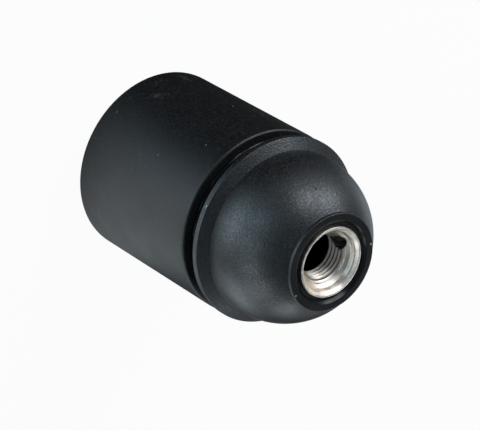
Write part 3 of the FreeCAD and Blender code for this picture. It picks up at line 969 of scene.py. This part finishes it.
@dataclass
class OuterShell:
    """Smooth skirted shell: outer wall, threaded sleeve for the lamp, ledge, and ribs between the two."""

    radius: float = 20.0
    length: float = 37.0
    skirt_bore: float = 17.8
    edge: float = 0.55
    neck_bore: float = 17.45
    ledge: float = 27.0
    web: float = 24.5
    lamp_root: float = 13.35
    lamp_thread: Thread = Thread(ThreadForm.EDISON, 3.629, -1.1, 1.6, samples=16)
    sleeve: float = 15.35
    sleeve_setback: float = 1.5
    thread_top: float = 20.2
    rib_count: int = 8
    rib_width: float = 1.6
    rib_setback: float = 5.0
    rib_bite: float = 0.4
    rib_rise: float = 1.2
    rib_edge: float = 0.2
    mouth_flare: float = 0.6
    mouth_drop: float = 0.5
    groove_depth: float = 0.75
    relief: float = 2.4
    outside: MouldedPlastic = MouldedPlastic(
        "shell_outside", (0.004, 0.0042, 0.0045), 0.43, 0.45, 0.02, dust=0.2, fleck=0.35, stains_and_painted_light=(
            SurfaceMark((-10.8, -16.8, 6.9), 1.1, (0.10, 0.052, 0.04), 0.5),
            SurfaceMark((-11.5, -16.35, 8.0), 1.2, (0.11, 0.05, 0.036), 0.65),
            SurfaceMark((-12.2, -15.85, 9.3), 1.3, (0.09, 0.05, 0.04), 0.5),
            SurfaceMark((-14.4, -13.9, 3.8), 2.6, (0.07, 0.07, 0.068), 0.5),
            SurfaceMark((-17.8, -9.05, 4.4), 3.0, (0.06, 0.06, 0.058), 0.45),
            SurfaceMark((-17.4, -9.84, 22.4), 0.24, (0.5, 0.48, 0.45), 0.35, patchy=False),
            SurfaceMark((-7.55, -18.52, 30.7), 0.22, (0.5, 0.49, 0.47), 0.35, patchy=False),
            SurfaceMark((-1.0, -19.98, 21.5), 0.22, (0.5, 0.49, 0.47), 0.3, patchy=False),
            SurfaceMark((-4.4, -19.51, 3.3), 0.24, (0.5, 0.49, 0.47), 0.3, patchy=False)))
    inside: MouldedPlastic = MouldedPlastic("shell_inside", (0.013, 0.013, 0.0135), 0.3, 0.5, 0.002, dust=0.2)
    segments: int = 256

    def section(self) -> list[Corner]:
        """Lays out the shell's half section.

        Returns:
            Its corners.
        """
        bore = self.neck_bore
        mouth = self.length
        groove = replace(NECK_THREAD, depth=self.groove_depth)
        return [
            Corner(self.skirt_bore, 0, 0.4, 0),
            Corner(self.radius, 0, self.edge, 0),
            Corner(self.radius, mouth, self.edge, 0),
            Corner(bore + self.mouth_flare, mouth, 0.15, 1),
            Corner(bore, mouth - self.mouth_drop, 0, 1, groove),
            Corner(bore, self.ledge + self.relief, 0, 1),
            Corner(bore, self.ledge, 0.15, 1),
            Corner(self.lamp_root, self.ledge, 0.25, 1),
            Corner(self.lamp_root, self.thread_top, 0, 1, self.lamp_thread),
            Corner(self.lamp_root, self.sleeve_setback + 0.5, 0, 1),
            Corner(self.lamp_root + 0.3, self.sleeve_setback, 0.15, 1),
            Corner(self.sleeve, self.sleeve_setback, 0.3, 1),
            Corner(self.sleeve, self.web, 0.4, 1),
            Corner(self.skirt_bore, self.web, 0.4, 1),
        ]

    def build(self, shop: Workshop) -> None:
        """Makes the shell and its ribs.

        Args:
            shop: where meshes are made.
        """
        outside, inside = self.outside.build(), self.inside.build()
        shell = shop.turned("shell_housing", self.section(), [outside, inside], self.segments)
        hang(shell, "shell", "shell_plastic", "outer_shell")
        mesh = shop.ribs.grow("shell_ribs", count=self.rib_count, inner=(self.sleeve - self.rib_bite) * MM,
                              outer=(self.skirt_bore + self.rib_bite) * MM, width=self.rib_width * MM,
                              bottom=self.rib_setback * MM, top=(self.web + self.rib_rise) * MM,
                              finish=inside)
        bm = bmesh.new()
        bm.from_mesh(mesh)
        crisp = [edge for edge in bm.edges if edge.calc_face_angle(0.0) > 1.0]
        bmesh.ops.bevel(bm, geom=crisp, offset=self.rib_edge * MM, segments=3, profile=0.5, affect="EDGES")
        hang(shop.piece("shell_ribs", bm, [inside], 50.0), "shell", "shell_plastic")


@dataclass
class LockAxis:
    """Line of the locking screw: where it meets the entry bore, and which way it leans outwards."""

    azimuth: float = 155.0
    lean: float = 30.0
    radius: float = 4.46
    level: float = 55.91

    def frame(self, distance: float = 0.0) -> Matrix:
        """Finds the frame of what lies on the line.

        Args:
            distance: how far outside the bore's wall the frame starts, in millimetres.

        Returns:
            The frame, with +Z outwards along the line.
        """
        turn, lean = math.radians(self.azimuth), math.radians(self.lean)
        outward = Vector((math.cos(turn), math.sin(turn), 0))
        direction = outward * math.cos(lean) - Vector((0, 0, math.sin(lean)))
        start = outward * self.radius + Vector((0, 0, self.level)) + direction * distance
        return Matrix.Translation(start * MM) @ direction.to_track_quat("Z", "X").to_matrix().to_4x4()


@dataclass
class DomedCap:
    """Domed cap: threaded neck, flange, shoulder, dome, collar, boss for the bush, keys and screw guide."""

    neck_root: float = 17.2
    neck_bore: float = 15.2
    neck_end: float = 32.2
    flange_radius: float = 20.0
    flange: float = 40.2
    shoulder: float = 41.5
    dome_base: float = 42.9
    dome_radius: float = 17.8
    dome_wall: float = 2.4
    dome_centre: float = 44.35
    collar_radius: float = 10.45
    collar: float = 59.46
    recess_radius: float = 8.9
    recess_floor_radius: float = 8.3
    recess_floor: float = 58.66
    bush_radius: float = 7.5
    bush_end: float = 51.51
    boss_radius: float = 10.0
    key_width: float = 3.0
    key_depth: float = 2.6
    guide_radius: float = 2.3
    guide_wall: float = 1.3
    guide_start: float = 3.4
    guide_end: float = 15.0
    driver_end: float = 24.0
    key_bite: float = 0.8
    key_rise: float = 1.2
    dome_steps: int = 48
    vault_steps: int = 14
    segments: int = 256
    grained: MouldedPlastic = MouldedPlastic(
        "cap_grained", (0.004, 0.0042, 0.0045), 0.37, 0.34, 0.045, specular=0.85, dust=0.12, scuffs=0.1,
        fleck=0.8, painted_reflection_tint=(0.88, 0.95, 1.0), stains_and_painted_light=(
            # Painted glints: the first two marks are light specks on the flange's rounded edge, where small
            # burrs catch the light.
            SurfaceMark((3.3, -19.75, 40.9), 0.45, (0.3, 0.31, 0.32), 0.8),
            SurfaceMark((2.9, -19.8, 41.15), 0.3, (0.4, 0.41, 0.42), 0.8, patchy=False),
            SurfaceMark((1.07, -11.16, 58.1), 0.5, (0.0, 0.0, 0.0), 0.9, dull=0.45, patchy=False),
            SurfaceMark((-10.85, -9.56, 54.7), 0.35, (0.0, 0.0, 0.0), 0.9, dull=0.45, patchy=False),
            SurfaceMark((-8.16, -10.11, 56.5), 0.4, (0.4, 0.39, 0.37), 0.6)))
    smooth: MouldedPlastic = MouldedPlastic(
        "cap_smooth", (0.003, 0.0032, 0.0035), 0.28, 0.5, 0.002, specular=0.25, dust=0.25, scuffs=0.15,
        stains_and_painted_light=(
            SurfaceMark((-7.16, 6.93, 59.46), 0.3, (0.5, 0.49, 0.47), 0.8, patchy=False),
            SurfaceMark((9.18, -4.05, 59.46), 0.28, (0.5, 0.49, 0.47), 0.7, patchy=False)))

    def _dome(self, radius: float, low: float, high: float, steps: int, finish: int) -> list[Corner]:
        """Lays corners along an arc of the dome.

        Args:
            radius: radius of the arc, in millimetres.
            low: latitude where it starts, in degrees.
            high: latitude where it ends.
            steps: divisions of the arc.
            finish: finish number of its wall.

        Returns:
            The corners.
        """
        angles = [math.radians(low + (high - low) * k / steps) for k in range(steps + 1)]
        return [Corner(radius * math.cos(angle), self.dome_centre + radius * math.sin(angle), 0, finish)
                for angle in angles]

    def section(self) -> list[Corner]:
        """Lays out the cap's half section.

        Returns:
            Its corners.
        """
        base = math.degrees(math.asin((self.dome_base - self.dome_centre) / self.dome_radius))
        top = math.degrees(math.acos(self.collar_radius / self.dome_radius))
        inner = self.dome_radius - self.dome_wall
        start = math.degrees(math.acos(self.neck_bore / inner))
        finish = math.degrees(math.acos(self.boss_radius / inner))
        return [
            Corner(self.bush_radius, self.recess_floor, 0, 1),
            Corner(self.recess_floor_radius, self.recess_floor, 0.1, 1),
            Corner(self.recess_radius, self.collar, 0.15, 1),
            Corner(self.collar_radius, self.collar, 0.17, 0),
            *self._dome(self.dome_radius, top, base, self.dome_steps, 0),
            Corner(self.flange_radius, self.shoulder, 0.18, 0),
            Corner(self.flange_radius, self.flange, 0.22, 1),
            Corner(self.neck_root, self.flange, 0.25, 1),
            Corner(self.neck_root, self.flange - 0.5, 0, 1, NECK_THREAD),
            Corner(self.neck_root, self.neck_end + 0.6, 0, 1),
            Corner(self.neck_root - 0.5, self.neck_end, 0.1, 1),
            Corner(self.neck_bore, self.neck_end, 0.25, 1),
            *self._dome(inner, start, finish, self.vault_steps, 1),
            Corner(self.boss_radius, self.bush_end, 0.3, 1),
            Corner(self.bush_radius, self.bush_end, 0, 1),
        ]

    def build(self, shop: Workshop, lock: LockAxis) -> None:
        """Makes the cap.

        Args:
            shop: where meshes are made.
            lock: line of the locking screw, which the guide follows.
        """
        materials = [self.grained.build(), self.smooth.build()]
        cap = shop.turned("cap_moulding", self.section(), materials, self.segments)
        wall = self.guide_radius + self.guide_wall
        ball = [Corner(0, self.dome_centre, 0, 1),
                *self._dome(self.dome_radius - self.dome_wall / 2, 0.0, 90.0, 30, 1)]
        guide = [Corner(0, self.guide_start, 0, 1), Corner(wall, self.guide_start, 0, 1),
                 Corner(wall, self.guide_end, 0, 1), Corner(0, self.guide_end, 0, 1)]
        sleeve = shop.turned("guide", guide, materials, 64, lock.frame())
        adds = [shop.combine(sleeve, [shop.turned("ball", ball, materials, 96)], Join.KEEP)]
        for side in (0.0, math.pi):
            low = (self.neck_bore - self.key_depth, -self.key_width / 2, self.neck_end)
            high = (self.neck_bore + self.key_bite, self.key_width / 2, self.dome_base + self.key_rise)
            adds.append(shop.block("key", low, high, materials, Matrix.Rotation(side, 4, "Z"), 1))
        cap = shop.combine(cap, adds, Join.ADD)
        hole = [Corner(0, 0, 0, 1), Corner(self.guide_radius, 0, 0, 1),
                Corner(self.guide_radius, self.driver_end, 0, 1), Corner(0, self.driver_end, 0, 1)]
        driver = shop.turned("driver_hole", hole, materials, 64, lock.frame())
        cap = shop.combine(cap, [driver], Join.CUT)
        hang(cap, "cap", "cap_plastic", "domed_cap")


@dataclass
class CableEntry:
    """Metal entry bush with its flared mouth and M10 thread, and the grub screw that locks the tube."""

    radius: float = 7.5
    top: float = 59.31
    end: float = 51.51
    root: float = 5.0
    thread: Thread = Thread(ThreadForm.METRIC, 1.0, -0.54, 0.5, phase=0.35, samples=16)
    thread_top: float = 56.45
    thread_end: float = 52.0
    screw_radius: float = 1.9
    screw_length: float = 6.0
    screw_inset: float = 1.3
    screw_pitch: float = 0.7
    hole_radius: float = 1.97
    hole_start: float = -2.2
    hole_thread: float = 0.3
    hole_end: float = 4.6
    countersink: float = 0.25
    lip: float = 0.42
    flare: tuple[Point, ...] = ((6.62, 58.62, 0.3), (6.42, 58.5, 0.1), (6.1, 57.7, 0.6), (5.62, 57.22, 0.1),
                                (5.5, 57.12, 0.08), (5.28, 56.7, 0.1))
    segments: int = 192
    metal: TurnedMetal = TurnedMetal(
        "bush_plated", (0.93, 0.86, 0.77), 0.39, 0.16, 0.003, grime_and_shade=0.85, stains_and_painted_light=(
            # Painted shade: these four black marks darken the bore in and below the locking screw's hole,
            # where shade falls.
            SurfaceMark((-4.6, 2.1, 56.7), 1.3, (0.0, 0.0, 0.0), 1.0, patch=0.5),
            SurfaceMark((-4.4, 2.3, 55.3), 1.0, (0.0, 0.0, 0.0), 1.0, patch=0.35),
            SurfaceMark((-4.25, 2.5, 54.0), 0.8, (0.0, 0.0, 0.0), 1.0, patch=0.35),
            SurfaceMark((-4.2, 2.6, 52.8), 0.6, (0.0, 0.0, 0.0), 1.0, patch=0.35)))
    steel: SheetMetal = SheetMetal("lock_screw_blackened", (0.2, 0.19, 0.18), 0.3, (0, 0, 0), 0.3)

    def section(self) -> list[Corner]:
        """Lays out the bush's half section, its mouth flared in turned steps.

        Returns:
            Its corners.
        """
        return [
            Corner(self.root, self.thread_end, 0, 0),
            Corner(self.root + self.countersink, self.end, 0.08, 0),
            Corner(self.radius, self.end, 0.3, 0),
            Corner(self.radius, self.top, 0.12, 0),
            Corner(self.radius - self.lip, self.top, 0.1, 0),
            *(Corner(radius, level, rounding) for radius, level, rounding in self.flare),
            Corner(self.root, self.thread_top, 0, 0, self.thread),
        ]

    def build(self, shop: Workshop, lock: LockAxis) -> None:
        """Makes the bush and its locking screw.

        Args:
            shop: where meshes are made.
            lock: line of the locking screw.
        """
        metal, steel = self.metal.build(), self.steel.build()
        bush = shop.turned("cable_bush", self.section(), [metal], self.segments)
        thread = Thread(ThreadForm.METRIC, self.screw_pitch, 0.3, 0.3, samples=10)
        hole = [Corner(0, self.hole_start), Corner(self.hole_radius, self.hole_start),
                Corner(self.hole_radius, self.hole_thread, thread=thread),
                Corner(self.hole_radius, self.hole_end), Corner(0, self.hole_end)]
        tool = shop.turned("screw_hole", hole, [metal], 72, lock.frame())
        bush = shop.combine(bush, [tool], Join.CUT, 38.0)
        hang(bush, "cap", "bush_metal", "entry_bush")
        screw = GrubScrew("lock_screw", self.screw_radius, self.screw_length, self.screw_pitch, steel)
        hang(screw.build(shop, lock.frame(self.screw_inset)), "locking_screw", "screw_steel", "locking_screw")


@dataclass
class GrubScrew:
    """Slotted headless screw, its point at the origin and its slot along +Z."""

    name: str
    radius: float
    length: float
    pitch: float
    material: bpy.types.Material
    slot_width: float = 0.6
    slot_depth: float = 0.7

    def build(self, shop: Workshop, place: Matrix) -> bpy.types.Object:
        """Makes the screw.

        Args:
            shop: where meshes are made.
            place: frame that the screw is laid on.

        Returns:
            The screw.
        """
        depth = self.pitch * 0.55
        root = self.radius - depth
        thread = Thread(ThreadForm.METRIC, self.pitch, depth, self.pitch * 0.7, samples=12)
        section = [
            Corner(0, 0, 0, 0), Corner(root - 0.3, 0, 0.08, 0), Corner(root, 0.35, 0, 0, thread),
            Corner(root, self.length - 0.15, 0, 0), Corner(root - 0.15, self.length, 0.05, 0),
            Corner(0, self.length, 0, 0),
        ]
        screw = shop.turned(self.name, section, [self.material], 72, None, 38.0)
        slot = shop.block("slot", (-2 * self.radius, -self.slot_width / 2, self.length - self.slot_depth),
                          (2 * self.radius, self.slot_width / 2, self.length + 1), [self.material])
        screw = shop.combine(screw, [slot], Join.CUT, 38.0)
        screw.data.transform(place)
        return screw


@dataclass
class TerminalBlock:
    """Moulded block with its two pillar terminals, their screws and rivets."""

    terminal_centre: float = 8.8
    screw_level: float = 35.6
    screw_tip: float = 10.7
    screw_radius: float = 1.45
    screw_length: float = 3.4
    rivet_head: float = 2.0
    rivet_radius: float = 1.2
    rivet_foot: float = 23.72
    rivet_end_radius: float = 1.55
    floor: float = 32.6
    plastic: MouldedPlastic = MouldedPlastic("block_moulded", (0.03, 0.022, 0.018), 0.4, 0.3, 0.006, dust=0.2)
    brass: SheetMetal = SheetMetal("terminal_brass_sawn", (0.66, 0.47, 0.20), 0.3, (0, 0, 90), 0.4)
    steel: SheetMetal = SheetMetal("terminal_screw_zinc", (0.6, 0.59, 0.56), 0.33, (0, 0, 0), 0.3)

    def rivet(self, shop: Workshop, side: float, brass: bpy.types.Material) -> bpy.types.Object:
        """Makes a domed rivet, closed over the terminal's floor.

        Args:
            shop: where meshes are made.
            side: 1 for the live side, -1 for the neutral one.
            brass: its finish.

        Returns:
            The rivet.
        """
        foot = self.rivet_foot
        section = [
            Corner(0, foot, 0, 0), Corner(self.rivet_head * 0.62, foot, 0.9, 0),
            Corner(self.rivet_head, foot + 0.36, 0.12, 0), Corner(self.rivet_head, foot + 0.5, 0, 0),
            Corner(self.rivet_radius, foot + 0.5, 0, 0), Corner(self.rivet_radius, self.floor, 0, 0),
            Corner(self.rivet_end_radius, self.floor, 0, 0),
            Corner(self.rivet_end_radius, self.floor + 0.4, 0.2, 0),
            Corner(0, self.floor + 0.6, 0, 0),
        ]
        place = Matrix.Translation((0, side * self.terminal_centre * MM, 0))
        name = "live_rivet_dressed" if side > 0 else "neutral_rivet_dressed"
        return shop.turned(name, section, [brass], 48, place)

    def build(self, shop: Workshop) -> None:
        """Makes the block and all that is fixed to it.

        Args:
            shop: where meshes are made.
        """
        plastic, brass, steel = self.plastic.build(), self.brass.build(), self.steel.build()
        block = shop.softened("terminal_block", "block_moulding", plastic, 0.16)
        hang(block, "block", "block_plastic", "terminal_block")
        for name, side in (("live", 1.0), ("neutral", -1.0)):
            pillar = shop.softened(name + "_terminal", name + "_pillar", brass, 0.12)
            hang(pillar, "block", "terminal_brass", name + "_terminal")
            hang(self.rivet(shop, side, brass), "block", "terminal_brass", name + "_rivet")
            turn = Matrix.Rotation(-side * math.pi / 2, 4, "X")
            place = Matrix.Translation((0, side * self.screw_tip * MM, self.screw_level * MM)) @ turn
            screw = GrubScrew(name + "_clamp_screw", self.screw_radius, self.screw_length, 0.5, steel)
            hang(screw.build(shop, place), name + "_screw", "screw_steel", name + "_terminal_screw")


@dataclass
class ContactStrip:
    """Sprung strip bent along a path of (y, level) points, with rounded ends and a rivet hole."""

    name: str
    node: str
    path: tuple[tuple[float, float], ...]
    rivet_at: float
    dimple_at: float | None = None
    width: float = 5.0
    thickness: float = 0.45
    bend: float = 1.0
    end_round: float = 1.3
    hole_radius: float = 1.5
    dimple_radius: float = 1.25
    dimple_depth: float = 0.3
    step: float = 0.28
    columns: int = 20

    def centreline(self) -> list[Vector]:
        """Follows the middle of the strip, its bends rounded.

        Returns:
            Points along it, as (y, level).
        """
        points = [Vector(p) for p in self.path]
        line: list[Vector] = [points[0]]
        for before, here, after in zip(points, points[1:], points[2:]):
            back, ahead = (before - here).normalized(), (after - here).normalized()
            half = back.angle(ahead) / 2
            setback = self.bend / math.tan(half)
            centre = here + (back + ahead).normalized() * (self.bend / math.sin(half))
            first, last = here + back * setback - centre, here + ahead * setback - centre
            line += [centre + first.lerp(last, k / 6).normalized() * self.bend for k in range(7)]
        line.append(points[-1])
        dense: list[Vector] = []
        for start, end in zip(line, line[1:]):
            steps = max(1, math.ceil((end - start).length / self.step))
            dense += [start.lerp(end, k / steps) for k in range(steps)]
        return dense + [line[-1]]

    def build(self, shop: Workshop, material: bpy.types.Material) -> bpy.types.Object:
        """Makes the strip.

        Args:
            shop: where meshes are made.
            material: its finish.

        Returns:
            The strip.
        """
        line = self.centreline()
        run = [0.0]
        for start, end in zip(line, line[1:]):
            run.append(run[-1] + (end - start).length)
        bm = bmesh.new()
        rows = []
        for point, gone in zip(line, run):
            inset = max(0.0, self.end_round - min(gone, run[-1] - gone))
            half = self.width / 2 - self.end_round + math.sqrt(max(0.0, self.end_round ** 2 - inset ** 2))
            row = []
            for k in range(self.columns + 1):
                x = -half + 2 * half * k / self.columns
                spot = Vector((x, point.x, point.y))
                if self.dimple_at is not None:
                    gap = math.hypot(x, point.x - self.dimple_at)
                    spot.z -= self.dimple_depth * max(0.0, 1 - (gap / self.dimple_radius) ** 2) ** 1.5
                row.append(bm.verts.new(spot * MM))
            rows.append(row)
        for low, high in zip(rows, rows[1:]):
            for k in range(self.columns):
                bm.faces.new((low[k], low[k + 1], high[k + 1], high[k]))
        bmesh.ops.recalc_face_normals(bm, faces=bm.faces)
        sheet = shop.piece(self.name, bm, [material])
        solid = sheet.modifiers.new("gauge", "SOLIDIFY")
        solid.thickness, solid.offset, solid.use_even_offset = self.thickness * MM, 0.0, True
        edges = sheet.modifiers.new("edges", "BEVEL")
        edges.width, edges.segments, edges.limit_method = 0.07 * MM, 2, "ANGLE"
        edges.angle_limit = math.radians(60)
        mesh = evaluated(sheet)
        sheet.modifiers.clear()
        sheet.data = mesh
        level = self.path[0][1]
        hole = [Corner(0, level - 1, 0, 0), Corner(self.hole_radius, level - 1, 0, 0),
                Corner(self.hole_radius, level + 1, 0, 0), Corner(0, level + 1, 0, 0)]
        tool = shop.turned("rivet_hole", hole, [material], 48, Matrix.Translation((0, self.rivet_at * MM, 0)))
        return shop.combine(sheet, [tool], Join.CUT, 38.0)


@dataclass
class Contacts:
    """The two sprung contact strips under the block."""

    level: float = 24.775
    tab: tuple[float, float] = (11.4, 6.2)
    pad: float = 1.5
    pad_drop: float = 2.7
    lift_end: float = -4.0
    lift_drop: float = 1.5
    chamber: float = 13.35
    wall_gap: float = 1.3
    half_width: float = 2.5
    side_lean: float = 1.2
    side_drop: float = 4.4
    lip: float = 0.8
    rivet_at: float = 8.8
    bronze: SheetMetal = SheetMetal("contact_bronze_rolled", (0.72, 0.46, 0.24), 0.28, (0, 0, 0), 0.35)
    strips: tuple[ContactStrip, ...] = field(default_factory=tuple)

    def __post_init__(self) -> None:
        """Lays out the paths of both strips."""
        level, low = self.level, self.level - self.pad_drop
        outer, inner = self.tab
        centre = ((outer, level), (inner, level), (self.pad, low), (-self.pad, low),
                  (self.lift_end, level - self.lift_drop))
        reach = math.sqrt((self.chamber - self.wall_gap) ** 2 - self.half_width ** 2)
        side = ((-inner, level), (-reach, level), (self.side_lean - reach, level - self.side_drop),
                (self.side_lean - self.lip - reach, level - self.side_drop - self.lip))
        self.strips = (
            ContactStrip("centre_strip", "centre_contact", centre, self.rivet_at, dimple_at=0.0),
            ContactStrip("side_strip", "side_contact", side, -self.rivet_at, end_round=0.8),
        )

    def build(self, shop: Workshop) -> None:
        """Makes both strips.

        Args:
            shop: where meshes are made.
        """
        bronze = self.bronze.build()
        for strip in self.strips:
            hang(strip.build(shop, bronze), strip.node, "contact_bronze", strip.node)


# ---------------------------------------------------------------- studio


@dataclass(frozen=True)
class Lamp:
    """Soft lamp: direction from the holder (0 towards -Y, 90 towards +X), height angle, and output."""

    name: str
    azimuth: float
    elevation: float
    distance: float
    size: tuple[float, float]
    power: float
    colour: Colour = (1.0, 1.0, 1.0)
    aim: Point = (0.0, 0.0, 35.0)
    spread: float = 180.0

    def build(self) -> None:
        """Hangs the lamp in the scene."""
        light = bpy.data.lights.new(self.name, "AREA")
        light.shape, light.size, light.size_y = "ELLIPSE", self.size[0] * MM, self.size[1] * MM
        light.energy, light.color, light.spread = self.power, self.colour, math.radians(self.spread)
        turn, rise = math.radians(self.azimuth), math.radians(self.elevation)
        away = Vector((math.sin(turn) * math.cos(rise), -math.cos(turn) * math.cos(rise), math.sin(rise)))
        lamp = bpy.data.objects.new(self.name, light)
        lamp.location = (Vector(self.aim) + away * self.distance) * MM
        lamp.rotation_euler = away.to_track_quat("Z", "Y").to_euler()
        lamp.visible_camera = False
        bpy.context.scene.collection.objects.link(lamp)


@dataclass
class Studio:
    """Camera, white ground, surroundings and soft lamps."""

    eye: Point = (1.078, -372.972, 413.516)
    right: Point = (-0.5068, 0.6178, 0.6012)
    up: Point = (-0.8621, -0.3632, -0.3534)
    lens: float = 195.85
    # The ground's reflections are painted: a dark base near the holder, with glowing pools of light on it.
    ground: PaleGround = PaleGround("pale_ground", (0.82, 0.82, 0.82), 0.95, 480.0, (0.02, 0.022, 0.024), (
        PaintedPool(5.0, 45.0, 40.0, (0.26, 0.38, 0.45)),
        PaintedPool(25.0, 45.0, 40.0, (0.94, 0.96, 0.99)),
        PaintedPool(70.0, 45.0, 40.0, (1.16, 1.28, 1.34)),
        PaintedPool(5.0, 150.0, 97.5, (1.90, 2.54, 2.93)),
        PaintedPool(25.0, 150.0, 97.5, (3.87, 4.38, 4.55)),
        PaintedPool(95.0, 150.0, 97.5, (3.34, 3.85, 4.03)),
        PaintedPool(180.0, 60.0, 60.0, (0.7, 0.75, 0.8)),
        PaintedPool(-150.0, 170.0, 110.0, (1.2, 1.4, 1.5)),
    ))
    air: Colour = (0.144, 0.176, 0.197)
    lamps: tuple[Lamp, ...] = (
        Lamp("side_box", -95.0, 26.0, 420.0, (200.0, 200.0), 0.653, (0.94, 0.97, 1.0)),
        Lamp("high_box", -65.0, 26.0, 420.0, (200.0, 200.0), 0.508, (0.95, 0.96, 1.0)),
        Lamp("low_1", 0.0, 10.0, 420.0, (130.0, 130.0), 0.2, (0.64, 0.88, 1.0)),
        Lamp("low_2", 30.0, 10.0, 420.0, (130.0, 130.0), 0.16, (0.75, 0.93, 1.0)),
        Lamp("low_3", 60.0, 10.0, 420.0, (130.0, 130.0), 0.17, (0.92, 0.96, 1.0)),
        Lamp("low_4", 90.0, 10.0, 420.0, (130.0, 130.0), 0.237, (0.92, 0.94, 1.0)),
        Lamp("low_5", 125.0, 10.0, 420.0, (130.0, 130.0), 0.19, (0.9, 0.96, 1.0)),
        Lamp("back_box", 175.0, 20.0, 420.0, (200.0, 200.0), 0.4, (0.95, 0.98, 1.0)),
    )

    def camera(self) -> None:
        """Places the camera."""
        lens = bpy.data.cameras.new("camera")
        lens.lens, lens.sensor_width, lens.clip_start, lens.clip_end = self.lens, 36.0, 0.01, 20.0
        camera = bpy.data.objects.new("camera", lens)
        right, up = Vector(self.right).normalized(), Vector(self.up)
        up = (up - right * up.dot(right)).normalized()
        rotation = Matrix((right, up, right.cross(up))).transposed().to_4x4()
        camera.matrix_world = Matrix.Translation(Vector(self.eye) * MM) @ rotation
        bpy.context.scene.collection.objects.link(camera)
        bpy.context.scene.camera = camera

    def floor(self) -> None:
        """Lays the white ground under the holder."""
        half, low = 1.5, -0.02 * MM
        mesh = bpy.data.meshes.new("ground")
        mesh.from_pydata([(-half, -half, low), (half, -half, low), (half, half, low), (-half, half, low)], [],
                         [(0, 1, 2, 3)])
        mesh.materials.append(self.ground.build())
        ground = bpy.data.objects.new("ground", mesh)
        bpy.context.scene.collection.objects.link(ground)

    def surroundings(self) -> None:
        """Dim air all round, white where it is looked at directly."""
        world = bpy.data.worlds.new("studio")
        world.use_nodes = True
        world.node_tree.nodes.clear()
        wires = Wiring(world.node_tree)
        rays = world.node_tree.nodes.new("ShaderNodeLightPath")
        direct = wires.math("MAXIMUM", rays.outputs["Is Camera Ray"], rays.outputs["Is Transmission Ray"])
        tone = wires.add("ShaderNodeMix", {0: direct, 6: (*self.air, 1.0), 7: (1.0, 1.0, 1.0, 1.0)}, output=2,
                         data_type="RGBA")
        light = wires.add("ShaderNodeBackground", {"Color": tone, "Strength": 1.0})
        wires.add("ShaderNodeOutputWorld", {"Surface": light})
        bpy.context.scene.world = world

    def build(self) -> None:
        """Sets up the whole studio."""
        bpy.context.scene.view_settings.view_transform = "Standard"
        self.camera()
        self.floor()
        self.surroundings()
        for lamp in self.lamps:
            lamp.build()


def main() -> None:
    """Builds every sub-assembly in order."""
    logging.basicConfig(level=logging.INFO, format="%(name)s: %(message)s")
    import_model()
    Studio().build()
    shop = Workshop()
    lock = LockAxis()
    OuterShell().build(shop)
    DomedCap().build(shop, lock)
    CableEntry().build(shop, lock)
    TerminalBlock().build(shop)
    Contacts().build(shop)


if __name__ == "__main__":
    main()
